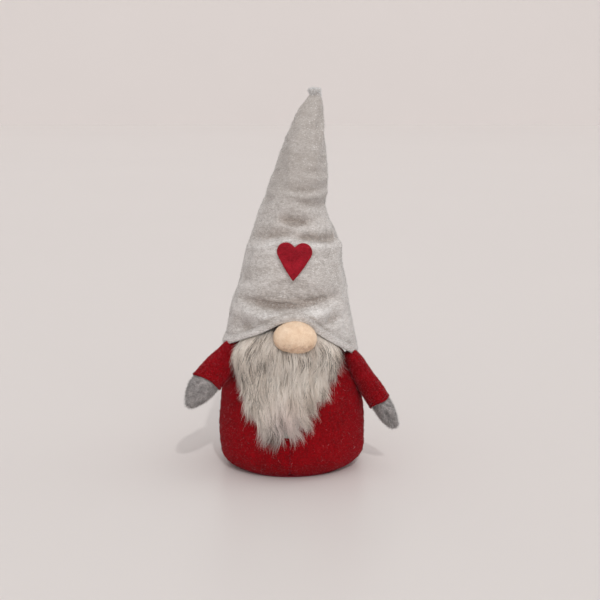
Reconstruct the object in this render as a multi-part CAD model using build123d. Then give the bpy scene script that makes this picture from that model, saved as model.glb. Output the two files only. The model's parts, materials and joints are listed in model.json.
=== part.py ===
from build123d import *
import os
from math import acos, atan2, cos, degrees, hypot, radians, sin

# A stuffed gnome figurine, about 250 mm tall. Millimetres, +Z up, front towards -Y.
# The origin is the centre of the flat underside. Left and right are as seen from the front.

# ---- driving dimensions -------------------------------------------------------------
felt = 1.5                      # thickness of the red body and sleeve felt
plush = 1.4                     # thickness of the grey hat cloth
fleece = 1.2                    # thickness of the mitten and nose fleece
seam_width = 0.5                # width of a sewn seam line
clear = 0.35                    # gap between soft parts that move past each other

# body outline: height, half width; the plan is an oval, a little shallower than wide
body_outline = [(0, 39.5), (8, 45.5), (28, 48.5), (50, 46.8), (62, 42.5),
                (72, 37), (84, 30), (96, 21), (106, 9)]
body_depth = 0.92
body_top = body_outline[-1][0]

# hat outline: height, sideways lean, half width, half depth
hat_outline = [(66, -1, 48, 44), (84, -0.5, 43.5, 40), (110, 0.8, 38, 35),
               (136, 1.2, 32.6, 29.5), (156, 2, 27.6, 25), (176, 2.8, 21.6, 19.8),
               (200, 7.2, 17.6, 15.5), (224, 11, 11.6, 10.6), (240, 14.4, 7, 6.6),
               (249, 16.2, 3.6, 3.6)]
brim_left = 83.5                # height of the brim's lower edge at the left side
brim_right = 76.5               # and at the right side
brim_half_width = 45
brim_arch_top = 102             # top of the arch over the nose
hem_height = 7                  # turned-in hem along the brim

hat_bend_height = 173           # where the hat cloth folds over
hat_bend_lean = 2.8
hat_bend_gap = 11               # cloth left loose below the fold
hat_ball_radius = 17            # rounded end of the tip's filling

board_thickness = 1.5
weight_height = 26

heart_width = 23.4
heart_height = 25.5
heart_thickness = 1.4
heart_centre = (3, 141)         # sideways, height
heart_lean = 12.5               # degrees, leans back with the hat's front
heart_roll = 3                  # degrees

nose_half = (13.6, 10.6, 10.4)
nose_centre = (3.3, -41, 91.5)

beard_backing = 1.8
beard_pile = 8.0
beard_standoff = 1.2            # the free flap hangs this far off the body
beard_upper_bottom = 76
beard_flap_top = 64

arm_length = 53
cuff_start = 31                 # distances along the arm from the shoulder
cuff_end = 34.5
arm_outline = [(2.8, 2.8, 2.6), (9, 5.0, 4.4), (17, 7.0, 5.4), (cuff_end, 8.6, 6.4)]
mitten_outline = [(cuff_end + 1, 7.6, 5.6), (42, 8.8, 6.2), (49, 7.2, 5.2), (arm_length, 3.2, 2.6)]

# shoulder point, outward angle from hanging, forward angle, turn about the arm's own axis
arms = {
    "left": {"side": -1, "shoulder": (-37.5, -15, 79), "outward": 40, "forward": 28, "twist": 0},
    "right": {"side": 1, "shoulder": (40.4, -12.5, 74), "outward": 33, "forward": 10, "twist": 70},
}


# ---- helpers ------------------------------------------------------------------------
def block(x0, x1, y0, y1, z0, z1):
    """A box between two corners."""
    centre = Pos((x0 + x1) / 2, (y0 + y1) / 2, (z0 + z1) / 2)
    return centre * Box(x1 - x0, y1 - y0, z1 - z0)


def oval_stack(sections, grow=0.0):
    """A smooth closed form through ovals given as height, lean, half width, half depth."""
    ovals = [Pos(lean, 0, z) * Ellipse(wide + grow, deep + grow) for z, lean, wide, deep in sections]
    return loft(ovals)


def body_form(grow=0.0):
    """The body's outline, grown outward by a distance."""
    sections = [(z, 0, half, half * body_depth) for z, half in body_outline]
    top = list(sections[-1])
    top[0] = body_top + grow
    return oval_stack(sections[:-1] + [tuple(top)], grow)


def hat_form(grow=0.0):
    """The hat's outline, grown outward by a distance."""
    return oval_stack(hat_outline, grow)


def write(name, solid):
    """One node, one file."""
    solid.label = name
    export_step(solid, f"parts/{name}.step")


os.makedirs("parts", exist_ok=True)
big = 400.0

# ---- body ---------------------------------------------------------------------------
body_outer = body_form()
body_inner = body_form(-felt)
body_shell = body_outer - body_inner
half_seam = seam_width / 2
write("body_cover_left", body_shell & block(-big, -half_seam, -big, big, -1, big))
write("body_cover_right", body_shell & block(half_seam, big, -big, big, -1, big))
write("body_front_seam", body_shell & block(-half_seam, half_seam, -big, 0, -1, big))
write("body_back_seam", body_shell & block(-half_seam, half_seam, 0, big, -1, big))

# the base: felt oval, thread round its edge, stiff board above it
base_half = body_outline[0][1] - felt - 0.9
base_depth = body_outline[0][1] * body_depth - felt - 0.9
base_cover = extrude(Ellipse(base_half, base_depth), felt)
thread_oval = Ellipse(base_half + 0.7, base_depth + 0.7) - Ellipse(base_half + 0.1, base_depth + 0.1)
base_seam = Pos(0, 0, 0.2) * extrude(thread_oval, 0.9)
board_oval = Ellipse(base_half - 1, base_depth - 1)
board_bottom = felt + 0.1
base_board = Pos(0, 0, board_bottom) * extrude(board_oval, board_thickness)
write("base_cover", base_cover)
write("base_seam", base_seam)
write("base_board", base_board)

# the weight: a cloth bag of pellets that keeps the figure upright
weight_bottom = board_bottom + board_thickness + 0.1
weight_top = weight_bottom + weight_height
bag_sections = [(weight_bottom, 0, 31, 29), (weight_bottom + 9, 0, 37, 34),
                (weight_top - 5, 0, 35, 32), (weight_top, 0, 24, 22)]
bag_wall = 0.8
fill_sections = [(bag_sections[0][0] + bag_wall,) + bag_sections[0][1:]] + bag_sections[1:3]
fill_sections += [(weight_top - bag_wall,) + bag_sections[3][1:]]
bag_outer = oval_stack(bag_sections)
bag_inner = oval_stack(fill_sections, -bag_wall)
write("weight_bag", bag_outer - bag_inner)
write("weight_pellets", bag_inner)

above_board = block(-big, big, -big, big, weight_bottom, big)
write("body_stuffing", (body_inner & above_board) - bag_outer)

# ---- hat ----------------------------------------------------------------------------
hat_outer = hat_form()
hat_inner = hat_form(-plush)
brim_tilt = degrees(atan2(brim_left - brim_right, 2 * brim_half_width))
brim_mid = (brim_left + brim_right) / 2
arch_rise = brim_arch_top - brim_mid
arch_radius = (brim_half_width ** 2 + arch_rise ** 2) / (2 * arch_rise)


def below_brim(rise):
    """Everything under the brim's edge, which arches up over the nose."""
    level = Pos(0, 0, brim_mid + rise) * Rot(0, brim_tilt, 0) * block(-big, big, -big, big, -big, 0)
    arch = Cylinder(arch_radius, 200, rotation=(90, 0, 0))
    arch = Pos(0, -100, brim_arch_top - arch_radius + rise) * arch
    return level + arch


below_fold = block(-big, big, -big, big, 0, hat_bend_height - hat_bend_gap)
above_fold = block(-big, big, -big, big, hat_bend_height + 0.5, big)
at_back = block(-half_seam, half_seam, 0, big, 0, big)

hat_wall = (hat_outer - hat_inner) & below_fold
hat_wall = hat_wall - below_brim(0)
write("hat_back_seam", hat_wall & at_back)
write("hat_cloth", hat_wall - at_back)

# the hem lies against the inside of the cloth, along the edge
hem_clear = 0.15
hem_wall = hat_form(-plush - hem_clear) - hat_form(-plush - hem_clear - 1.0)
hem = (hem_wall - below_brim(0.3)) & below_brim(hem_height)
write("hat_hem", hem)

ball_place = Pos(hat_bend_lean, 0, hat_bend_height)
stuffing_form = hat_form(-plush - hem_clear - 1.2)
hat_stuffing = (stuffing_form & below_fold) - below_brim(hem_height)
hat_stuffing = hat_stuffing - body_form(0.3)
hat_stuffing = hat_stuffing - ball_place * Sphere(hat_ball_radius + 0.6)
write("hat_stuffing", hat_stuffing)

# the tip bends over as one with its filling, which ends in a ball
tip_top = block(-big, big, -big, big, 0, hat_outline[-1][0] - plush)
tip_wall = (hat_outer & above_fold) - (hat_inner & tip_top)
tip_lean = degrees(atan2(hat_outline[-1][1] - hat_bend_lean, hat_outline[-1][0] - hat_bend_height))
tip_back = Pos(hat_bend_lean, 0, hat_bend_height) * Rot(0, tip_lean, 0)
tip_back = tip_back * block(-half_seam, half_seam, 0, big, -20, big)
write("hat_tip_seam", tip_wall & tip_back)
write("hat_tip_cloth", tip_wall - tip_back)
tip_filling = (hat_form(-plush - 0.1) & above_fold) & (Pos(0, 0, -0.1) * tip_top)
write("hat_tip_stuffing", tip_filling + ball_place * Sphere(hat_ball_radius))
tuft_lean = hat_outline[-1][1]
tuft_bottom = hat_outline[-1][0]
write("hat_tip_tuft", oval_stack([(tuft_bottom, tuft_lean, 2.6, 2.2), (tuft_bottom + 2.2, tuft_lean, 3.0, 1.4)]))

# ---- heart --------------------------------------------------------------------------
lobe = 0.265 * heart_width
lobe_x = heart_width / 2 - lobe
lobe_y = heart_height / 2 - lobe
tip_y = -heart_height / 2
reach = hypot(lobe_x, lobe_y - tip_y)
# where the straight side, running up from the point, touches the lobe
to_tip = atan2(tip_y - lobe_y, -lobe_x)
touch = to_tip + acos(lobe / reach)
touch_x = lobe_x + lobe * cos(touch)
touch_y = lobe_y + lobe * sin(touch)
sides = Polyline((0, tip_y), (touch_x, touch_y), (lobe_x, lobe_y), (0, lobe_y), (-lobe_x, lobe_y),
                 (-touch_x, touch_y), (0, tip_y))
heart_shape = make_face(sides)
heart_shape = heart_shape + Pos(lobe_x, lobe_y) * Circle(lobe) + Pos(-lobe_x, lobe_y) * Circle(lobe)
heart_y = -30.6
heart_place = Pos(heart_centre[0], heart_y, heart_centre[1]) * Rot(90 - heart_lean, 0, 0) * Rot(0, 0, heart_roll)
write("heart", heart_place * extrude(heart_shape, heart_thickness))
glue = heart_place * Pos(0, 1, -2.9) * Cylinder(4.5, 5.8)
write("heart_glue", glue - hat_outer)

# ---- nose ---------------------------------------------------------------------------
nose_place = Pos(*nose_centre)
nose_outer = nose_place * scale(Sphere(1), nose_half)
nose_inner = nose_place * scale(Sphere(1), tuple(h - fleece for h in nose_half))
write("nose_cover", nose_outer - nose_inner)
write("nose_stuffing", nose_inner)
gather_place = nose_place * Pos(0, nose_half[1] + 0.7, 0) * Rot(90, 0, 0)
write("nose_gather_thread", gather_place * Torus(2.4, 0.45))

# ---- beard --------------------------------------------------------------------------
# fur fabric: a woven backing with a long pile; the upper part is sewn down under the
# brim and the nose, and the lower part hangs free as a flap
upper_edge = [(-34, beard_upper_bottom), (-33, 83), (-27, 90), (-12, 95), (14, 95), (27, 90),
              (33, 83), (34, beard_upper_bottom)]
flap_edge = [(-30, beard_flap_top), (-35, 58), (-31, 50), (-26, 37), (-18, 26), (-8, 20.5), (4, 22.5),
             (10, 31), (17, 41), (26, 49), (31, 58), (28, beard_flap_top)]


def beard_patch(edge, inside, outside):
    """The part of the layer between two grown body forms that lies behind an outline."""
    points = [(x, z) for x, z in edge]
    panel = make_face(Polyline(*points, points[0]))
    front = Plane.XZ * panel
    prism = extrude(front, 90)
    return (body_form(outside) - body_form(inside)) & prism


upper_back = beard_patch(upper_edge, 0.1, 0.1 + beard_backing)
upper_fur = beard_patch(upper_edge, 0.1 + beard_backing, 0.1 + beard_backing + beard_pile - 1)
brim_room = hat_form(clear) - below_brim(-clear)
nose_room = nose_place * scale(Sphere(1), tuple(h + clear for h in nose_half))
gather_room = gather_place * Cylinder(3.4, 2.4)
write("beard_upper_backing", upper_back - nose_room - brim_room - gather_room)
write("beard_upper_fur", upper_fur - nose_room - brim_room - gather_room)
flap_inside = beard_standoff
write("beard_flap_backing", beard_patch(flap_edge, flap_inside, flap_inside + beard_backing))
flap_fur = beard_patch(flap_edge, flap_inside + beard_backing, flap_inside + beard_backing + beard_pile)
write("beard_flap_fur", flap_fur)


# ---- arms ---------------------------------------------------------------------------
def arm_form(outline, grow=0.0):
    """A smooth limb along +Z through ovals given as distance, half width, half depth."""
    return oval_stack([(s, 0, wide, deep) for s, wide, deep in outline], grow)


def trimmed(outline, wall):
    """The same outline shortened at both ends by a wall."""
    first = (outline[0][0] + wall,) + outline[0][1:]
    last = (outline[-1][0] - wall,) + outline[-1][1:]
    return [first] + outline[1:-1] + [last]


for name, arm in arms.items():
    out_angle = radians(arm["outward"])
    fore_angle = radians(arm["forward"])
    direction = (arm["side"] * sin(out_angle) * cos(fore_angle), -sin(fore_angle),
                 -cos(out_angle) * cos(fore_angle))
    across = (cos(out_angle) * arm["side"], 0, sin(out_angle))
    limb_plane = Plane(origin=arm["shoulder"], x_dir=across, z_dir=direction)
    place = limb_plane.location * Rot(0, 0, arm["twist"])

    sleeve_outer = arm_form(arm_outline)
    sleeve_inner = arm_form(trimmed(arm_outline, felt), -felt)
    below_cuff = block(-30, 30, -30, 30, -5, cuff_start - 0.1)
    past_cuff = block(-30, 30, -30, 30, cuff_start, cuff_end)
    write(name + "_sleeve", place * ((sleeve_outer - sleeve_inner) & below_cuff))
    write(name + "_cuff", place * ((arm_form(arm_outline, 0.7) & past_cuff) - sleeve_inner))
    write(name + "_arm_stuffing", place * sleeve_inner)

    mitten_outer = arm_form(mitten_outline)
    mitten_inner = arm_form(trimmed(mitten_outline, fleece), -fleece)
    write(name + "_mitten", place * (mitten_outer - mitten_inner))
    write(name + "_mitten_stuffing", place * mitten_inner)
    stitch_oval = Ellipse(6.8, 4.8) - Ellipse(5.9, 3.9)
    write(name + "_wrist_stitching", place * Pos(0, 0, cuff_end + 0.1) * extrude(stitch_oval, 0.8))
    write(name + "_shoulder_stitching", place * Torus(1.5, 0.5))
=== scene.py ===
import bpy
import bmesh
import json
import math
import numpy as np
from mathutils import Matrix, Vector, noise
from mathutils.bvhtree import BVHTree


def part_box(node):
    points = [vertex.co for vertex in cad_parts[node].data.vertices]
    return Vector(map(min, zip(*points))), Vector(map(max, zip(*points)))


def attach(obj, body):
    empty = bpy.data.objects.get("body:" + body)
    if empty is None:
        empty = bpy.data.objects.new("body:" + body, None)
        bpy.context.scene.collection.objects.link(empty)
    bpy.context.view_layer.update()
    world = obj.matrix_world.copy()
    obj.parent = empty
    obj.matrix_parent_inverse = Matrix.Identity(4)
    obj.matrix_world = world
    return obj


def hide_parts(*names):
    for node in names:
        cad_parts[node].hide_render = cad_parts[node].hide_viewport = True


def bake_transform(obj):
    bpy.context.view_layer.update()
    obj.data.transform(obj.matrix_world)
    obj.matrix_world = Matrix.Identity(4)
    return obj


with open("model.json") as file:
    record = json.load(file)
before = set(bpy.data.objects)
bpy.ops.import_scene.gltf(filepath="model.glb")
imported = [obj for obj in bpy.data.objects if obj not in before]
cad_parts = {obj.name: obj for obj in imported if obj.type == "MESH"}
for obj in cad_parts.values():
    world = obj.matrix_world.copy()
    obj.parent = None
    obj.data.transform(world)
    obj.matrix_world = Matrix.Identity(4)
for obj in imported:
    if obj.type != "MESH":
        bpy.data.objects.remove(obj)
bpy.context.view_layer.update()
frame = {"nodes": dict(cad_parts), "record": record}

mm = 0.001
jointPlace = {j["name"]: Vector(j["pos_m"]) for j in frame["record"]["behaviour"]["joints"]}


def clearAll():   # object mode, nothing selected
    if bpy.context.object and bpy.context.object.mode != "OBJECT":
        bpy.ops.object.mode_set(mode="OBJECT")
    bpy.ops.object.select_all(action="DESELECT")


def pick(piece):   # the only selected and active object
    clearAll()
    piece.select_set(True)
    bpy.context.view_layer.objects.active = piece


def useModifier(piece, kind, **settings):   # add a modifier, set it and apply it
    pick(piece)
    modifier = piece.modifiers.new(kind.lower(), kind)
    for key, value in settings.items():
        setattr(modifier, key, value)
    bpy.ops.object.modifier_apply(modifier=modifier.name)


def smooth(piece):
    pick(piece)
    bpy.ops.object.shade_smooth()


def settle(piece):   # bake the object's place into its mesh
    pick(piece)
    bpy.ops.object.transform_apply(location=True, rotation=True, scale=True)


def meshArray(piece):
    flat = np.empty(len(piece.data.vertices) * 3)
    piece.data.vertices.foreach_get("co", flat)
    return flat.reshape(-1, 3)


def setMeshArray(piece, points):
    piece.data.vertices.foreach_set("co", np.asarray(points).ravel())
    piece.data.update()


def normalArray(piece):
    flat = np.empty(len(piece.data.vertices) * 3)
    piece.data.vertices.foreach_get("normal", flat)
    return flat.reshape(-1, 3)


def lump(point, size, seed=0.0):   # smooth noise of about this size, -1 to 1
    return noise.noise(Vector(point) / size + Vector((seed, 2.3 * seed, -seed)))


def between(value, low, high):   # 0 below low, 1 above high, eased
    part = min(max((value - low) / (high - low), 0.0), 1.0)
    return part * part * (3 - 2 * part)


def bell(value, wide):   # 1 at zero, falling to nothing over a few widths
    return math.exp(-(value / wide) ** 2)


def alongTable(table, value):   # reading between the (key, reading) pairs of a table
    return float(np.interp(value, *zip(*table)))


def smoothTable(table, steps=60):   # the same table as a rounded curve, for outlines
    keys = np.array([k for k, _ in table], float)
    values = np.array([v for _, v in table], float)
    slopes = np.gradient(values, keys)
    fine = np.linspace(keys[0], keys[-1], steps)
    out = []
    for key in fine:
        i = int(min(max(np.searchsorted(keys, key) - 1, 0), len(keys) - 2))
        span = keys[i + 1] - keys[i]
        t = (key - keys[i]) / span
        value = ((2 * t ** 3 - 3 * t ** 2 + 1) * values[i] + (t ** 3 - 2 * t ** 2 + t) * span * slopes[i]
                 + (-2 * t ** 3 + 3 * t ** 2) * values[i + 1] + (t ** 3 - t ** 2) * span * slopes[i + 1])
        out.append((float(key), float(value)))
    return out


def raiseRings(name, rings, sides):
    # a closed form drawn up ring by ring; a ring is (x, y, z, half width, half depth)
    clearAll()
    x, y, z, wide, deep = rings[0]
    bpy.ops.mesh.primitive_circle_add(vertices=sides, radius=1, fill_type="NGON", location=(x, y, z))
    piece = bpy.context.object
    piece.name = name
    piece.data.name = name
    bpy.ops.object.mode_set(mode="EDIT")
    bpy.ops.mesh.select_all(action="SELECT")
    bpy.ops.transform.resize(value=(wide, deep, 1), center_override=(x, y, z))
    for nx, ny, nz, nextWide, nextDeep in rings[1:]:
        move = (nx - x, ny - y, nz - z)
        bpy.ops.mesh.extrude_region_move(TRANSFORM_OT_translate={"value": move})
        bpy.ops.transform.resize(value=(nextWide / wide, nextDeep / deep, 1), center_override=(nx, ny, nz))
        x, y, z, wide, deep = nx, ny, nz, nextWide, nextDeep
    bpy.ops.mesh.select_all(action="SELECT")
    bpy.ops.mesh.normals_make_consistent(inside=False)
    bpy.ops.object.mode_set(mode="OBJECT")
    settle(piece)
    return piece


def underPressure(piece, pressure, cap, frames, **settings):
    # a short cloth run that swells a closed cover; no spot of it moves further than the cap
    start = meshArray(piece)
    pick(piece)
    cloth = piece.modifiers.new("cloth", "CLOTH")
    cloth.settings.use_pressure = True
    cloth.settings.uniform_pressure_force = pressure
    cloth.settings.effector_weights.gravity = 0
    cloth.settings.quality = 6
    cloth.settings.mass = 0.15
    for key, value in settings.items():
        setattr(cloth.settings, key, value)
    cloth.point_cache.frame_start = 1
    cloth.point_cache.frame_end = frames
    for step in range(1, frames + 1):
        bpy.context.scene.frame_set(step)
    shaped = piece.evaluated_get(bpy.context.evaluated_depsgraph_get())
    flat = np.empty(len(start) * 3)
    shaped.data.vertices.foreach_get("co", flat)
    moved = flat.reshape(-1, 3) - start
    length = np.linalg.norm(moved, axis=1, keepdims=True)
    moved *= np.minimum(1, cap / np.maximum(length, 1e-9))
    piece.modifiers.remove(cloth)
    setMeshArray(piece, start + moved)
    bpy.context.scene.frame_set(1)
    piece.vertex_groups.clear()


def plump(piece, voxel, pressure, cap, frames=20, pinBelow=None):
    # the cover swells and puckers like a stuffed one
    useModifier(piece, "REMESH", mode="VOXEL", voxel_size=voxel)
    held = {}
    if pinBelow is not None:
        group = piece.vertex_groups.new(name="held")
        low = [i for i, p in enumerate(meshArray(piece)) if p[2] < pinBelow]
        group.add(low, 1.0, "REPLACE")
        held = {"vertex_group_mass": "held"}
    underPressure(piece, pressure, cap, frames, tension_stiffness=12, compression_stiffness=12,
                  bending_stiffness=0.3, **held)
    useModifier(piece, "SMOOTH", factor=0.5, iterations=4)
    useModifier(piece, "SUBSURF", levels=1, render_levels=1)
    smooth(piece)
    return piece


def sumOf(operation, turned=False):   # a sum between a socket and another socket or a number
    def act(self, other):
        first, second = (other, self) if turned else (self, other)
        return self.sheet.add("ShaderNodeMath", {"operation": operation}, {0: first, 1: second})
    return act


class Wire:   # a socket that takes part in sums
    def __init__(self, sheet, socket):
        self.sheet = sheet
        self.socket = socket

    __add__, __radd__ = sumOf("ADD"), sumOf("ADD", True)
    __sub__, __rsub__ = sumOf("SUBTRACT"), sumOf("SUBTRACT", True)
    __mul__, __rmul__ = sumOf("MULTIPLY"), sumOf("MULTIPLY", True)


class Finish:   # one material and the nodes in it
    def __init__(self, name):
        self.material = bpy.data.materials.new(name)
        self.material.use_nodes = True
        self.tree = self.material.node_tree
        self.tree.nodes.clear()
        self.place = self.add("ShaderNodeTexCoord", out="Object")

    def add(self, kind, settings=None, sockets=None, out=0):
        made = self.tree.nodes.new(kind)
        for key, value in (settings or {}).items():
            if key == "stops":
                ramp = made.color_ramp
                while len(ramp.elements) < len(value):
                    ramp.elements.new(0.5)
                for element, (spot, colour) in zip(ramp.elements, value):
                    element.position = spot
                    element.color = colour
            else:
                setattr(made, key, value)
        for key, value in (sockets or {}).items():
            if isinstance(value, Wire):
                self.tree.links.new(value.socket, made.inputs[key])
            else:
                made.inputs[key].default_value = value
        return Wire(self, made.outputs[out])

    def noise(self, size, detail=3.0, rough=0.55, stretch=None):   # size in metres
        spot = self.place
        if stretch:
            spot = self.add("ShaderNodeVectorMath", {"operation": "MULTIPLY"}, {0: spot, 1: stretch})
        sockets = {"Vector": spot, "Scale": 1 / size, "Detail": detail, "Roughness": rough}
        return self.add("ShaderNodeTexNoise", {}, sockets)

    def cells(self, size):
        sockets = {"Vector": self.place, "Scale": 1 / size}
        return self.add("ShaderNodeTexVoronoi", {}, sockets, out="Distance")

    def ramp(self, value, low, high):   # 0 at low, 1 at high
        stops = [(max(low, 0.0), (0, 0, 0, 1)), (min(high, 1.0), (1, 1, 1, 1))]
        made = self.add("ShaderNodeValToRGB", {"stops": stops}, {"Fac": value})
        made.socket.node.color_ramp.interpolation = "EASE"
        return made

    def mix(self, share, first, second, blend="MIX"):
        sockets = {0: share, 6: first, 7: second}
        return self.add("ShaderNodeMix", {"data_type": "RGBA", "blend_type": blend}, sockets, out=2)

    def bump(self, height, distance, strength=1.0):
        return self.add("ShaderNodeBump", {}, {"Height": height, "Distance": distance, "Strength": strength})

    def close(self, colour, roughness, normal=None, **fixed):
        sockets = {"Base Color": colour, "Roughness": roughness}
        if normal:
            sockets["Normal"] = normal
        shader = self.add("ShaderNodeBsdfPrincipled", {}, {**sockets, **fixed})
        output = self.tree.nodes.new("ShaderNodeOutputMaterial")
        self.tree.links.new(shader.socket, output.inputs["Surface"])
        return self.material


def rgb(red, green, blue):   # a colour as seen on screen, 0 to 255
    linear = []
    for value in (red, green, blue):
        part = value / 255
        linear.append(part / 12.92 if part <= 0.04045 else ((part + 0.055) / 1.055) ** 2.4)
    return (*linear, 1.0)


felt = {"lit": (160, 6, 19), "deep": (106, 3, 9), "grain": 0.0010, "mottle": 0.0065, "lint": 0.0042}


def redFelt():
    f = Finish("redFelt")
    fibre = f.noise(felt["grain"], 4, 0.75, stretch=(0.8, 0.8, 1.1))
    patch = f.noise(felt["mottle"], 3, 0.6)
    wide = f.noise(0.024, 2, 0.5)
    shade = fibre * 0.76 + patch * 0.12 + wide * 0.12
    colour = f.mix(f.ramp(shade, 0.38, 0.64), rgb(*felt["deep"]), rgb(*felt["lit"]))
    lint = f.cells(felt["lint"])
    keep = f.ramp(f.noise(0.009, 1, 0.5), 0.52, 0.6)
    speck = (1 - f.ramp(lint, 0.035, 0.07)) * keep
    colour = f.mix(speck * 0.75, colour, rgb(226, 176, 178))
    height = fibre * 0.9 + patch * 0.5
    return f.close(colour, 0.86 + fibre * 0.1, f.bump(height, 0.0009, 0.9),
                   **{"Sheen Weight": 0.18, "Sheen Roughness": 0.4, "Sheen Tint": rgb(232, 50, 74),
                      "Specular IOR Level": 0.1})


def greyPlush(name, pressed):
    f = Finish(name)
    nap = f.noise(0.0010, 4, 0.75, stretch=(0.5, 0.5, 1.4))   # short sideways strokes of the nap
    brushed = f.noise(0.013, 3, 0.6, stretch=(0.6, 0.6, 1.4))
    wide = f.noise(0.045, 2, 0.5)
    shade = f.ramp(nap * 0.6 + brushed * 0.25 + wide * 0.15, 0.38, 0.62)
    colour = f.mix(shade, rgb(178, 170, 164), rgb(226, 221, 218))
    if pressed:   # painted shade in the folds and painted highlight on the ridges
        fold = f.add("ShaderNodeAttribute", {"attribute_name": "pressed"}, out="Fac")
        ridge = f.mix(shade, rgb(190, 184, 180), rgb(240, 237, 235))
        paintedValleyShade = f.mix(shade, rgb(148, 136, 128), rgb(196, 186, 179))
        colour = f.mix(f.ramp(fold, 0.5, 0.95), colour, paintedValleyShade)
        colour = f.mix(f.ramp(1 - fold, 0.5, 0.9), colour, ridge)
        up = f.add("ShaderNodeSeparateXYZ", {}, {0: f.place}, out=2)
        # painted shade: a little darker near the top
        colour = f.mix(f.ramp(up * 5, 0.74, 1.0) * 0.5, colour, rgb(162, 153, 146))
    # painted glints: near-white sparkle dots painted into the colour
    glint = f.cells(0.0012)
    side = f.add("ShaderNodeSeparateXYZ", {}, {0: f.place})
    right = f.ramp(side * 14 + 0.35, 0.35, 0.85)   # the nap catches more light down the right side
    chance = f.ramp(f.noise(0.0024, 2, 0.7), 0.46, 0.56)
    sparkle = (1 - f.ramp(glint, 0.12, 0.38)) * chance * (0.42 + right * 0.58)
    colour = f.mix(sparkle, colour, rgb(254, 252, 251))
    relief = f.bump(nap * 0.8 + brushed * 0.7, 0.0008, 0.85)
    return f.close(colour, 0.62 + nap * 0.25 - sparkle * 0.25, relief,
                   **{"Sheen Weight": 0.9, "Sheen Roughness": 0.3, "Sheen Tint": rgb(252, 249, 247),
                      "Specular IOR Level": 0.3})


def heartFelt():
    f = Finish("heartFelt")
    fibre = f.noise(0.0006, 4, 0.75)
    patch = f.noise(0.004, 3, 0.6)
    colour = f.mix(f.ramp(fibre * 0.6 + patch * 0.4, 0.36, 0.66), rgb(124, 13, 26), rgb(172, 30, 46))
    return f.close(colour, 0.9 + fibre * 0.05, f.bump(fibre + patch * 0.5, 0.0004, 0.7),
                   **{"Sheen Weight": 0.35, "Sheen Roughness": 0.5, "Sheen Tint": rgb(240, 120, 130),
                      "Specular IOR Level": 0.15})


def noseFleece():
    f = Finish("noseFleece")
    fibre = f.noise(0.0007, 4, 0.7)
    patch = f.noise(0.005, 3, 0.6)
    colour = f.mix(f.ramp(fibre * 0.5 + patch * 0.5, 0.35, 0.68), rgb(230, 198, 167), rgb(250, 226, 201))
    up = f.add("ShaderNodeSeparateXYZ", {}, {0: f.place}, out=2)
    low = 1 - f.ramp(up * 10, 0.86, 0.95)   # browner in uneven patches on the underside
    blush = low * f.ramp(f.noise(0.0028, 4, 0.7), 0.42, 0.6)
    colour = f.mix(blush * 0.45, colour, rgb(190, 134, 108))
    return f.close(colour, 0.85 + fibre * 0.08, f.bump(fibre + patch * 0.5, 0.0004, 0.6),
                   **{"Sheen Weight": 0.4, "Sheen Roughness": 0.5, "Sheen Tint": rgb(255, 236, 214),
                      "Specular IOR Level": 0.2})


def mittenFleece():
    f = Finish("mittenFleece")
    fibre = f.noise(0.0009, 4, 0.75)
    patch = f.noise(0.004, 3, 0.65)
    colour = f.mix(f.ramp(fibre * 0.5 + patch * 0.5, 0.36, 0.66), rgb(134, 125, 123), rgb(216, 208, 206))
    return f.close(colour, 0.88 + fibre * 0.06, f.bump(fibre + patch * 0.6, 0.0006, 0.9),
                   **{"Sheen Weight": 0.4, "Sheen Roughness": 0.5, "Specular IOR Level": 0.15})


def strandFinish(name, dark, light, sheen=0.2, rough=0.55):   # fibres carry their own tone in an attribute
    f = Finish(name)
    tone = f.add("ShaderNodeAttribute", {"attribute_name": "fibreTone"}, out="Color")
    grain = f.noise(0.0011, 2, 0.6)
    colour = f.mix(1.0, tone, f.mix(grain, rgb(*dark), rgb(*light)), "MULTIPLY")
    return f.close(colour, rough + grain * 0.2, None,
                   **{"Sheen Weight": sheen, "Sheen Roughness": 0.4, "Specular IOR Level": 0.3})


def threadFinish(name, dark, light):
    f = Finish(name)
    twist = f.noise(0.00035, 3, 0.6, stretch=(1, 1, 2.5))
    colour = f.mix(f.ramp(twist, 0.35, 0.65), rgb(*dark), rgb(*light))
    return f.close(colour, 0.6 + twist * 0.2, f.bump(twist, 0.0002, 0.7), **{"Specular IOR Level": 0.3})


def fillFinish():
    f = Finish("polyesterFill")
    wisp = f.noise(0.002, 5, 0.8)
    colour = f.mix(wisp, rgb(216, 216, 212), rgb(248, 248, 246))
    return f.close(colour, 0.8 + wisp * 0.1, f.bump(wisp, 0.001, 0.9), **{"Sheen Weight": 0.3})


def weaveFinish(name, dark, light, pitch):
    f = Finish(name)
    spot = f.add("ShaderNodeSeparateXYZ", {}, {0: f.place})
    across = f.add("ShaderNodeMath", {"operation": "SINE"}, {0: spot * (6.283 / pitch)})
    height = Wire(f, spot.socket.node.outputs[2])
    up = f.add("ShaderNodeMath", {"operation": "SINE"}, {0: height * (6.283 / pitch)})
    cloth = across * up * 0.5 + 0.5
    worn = f.noise(0.006, 3, 0.6)
    colour = f.mix(cloth * 0.6 + worn * 0.4, rgb(*dark), rgb(*light))
    return f.close(colour, 0.85 + cloth * 0.08, f.bump(cloth, 0.0002, 0.6), **{"Sheen Weight": 0.2})


def pelletFinish():
    f = Finish("pellets")
    bead = f.cells(0.0032)
    colour = f.mix(f.ramp(bead, 0.1, 0.6), rgb(232, 230, 224), rgb(150, 148, 142))
    return f.close(colour, 0.35 + bead * 0.3, f.bump(1 - bead, 0.0015, 1.0))


def boardFinish():
    f = Finish("greyBoard")
    pulp = f.noise(0.0014, 5, 0.7)
    colour = f.mix(pulp, rgb(150, 128, 100), rgb(184, 162, 132))
    return f.close(colour, 0.85 + pulp * 0.08, f.bump(pulp, 0.0002, 0.5))


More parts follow.
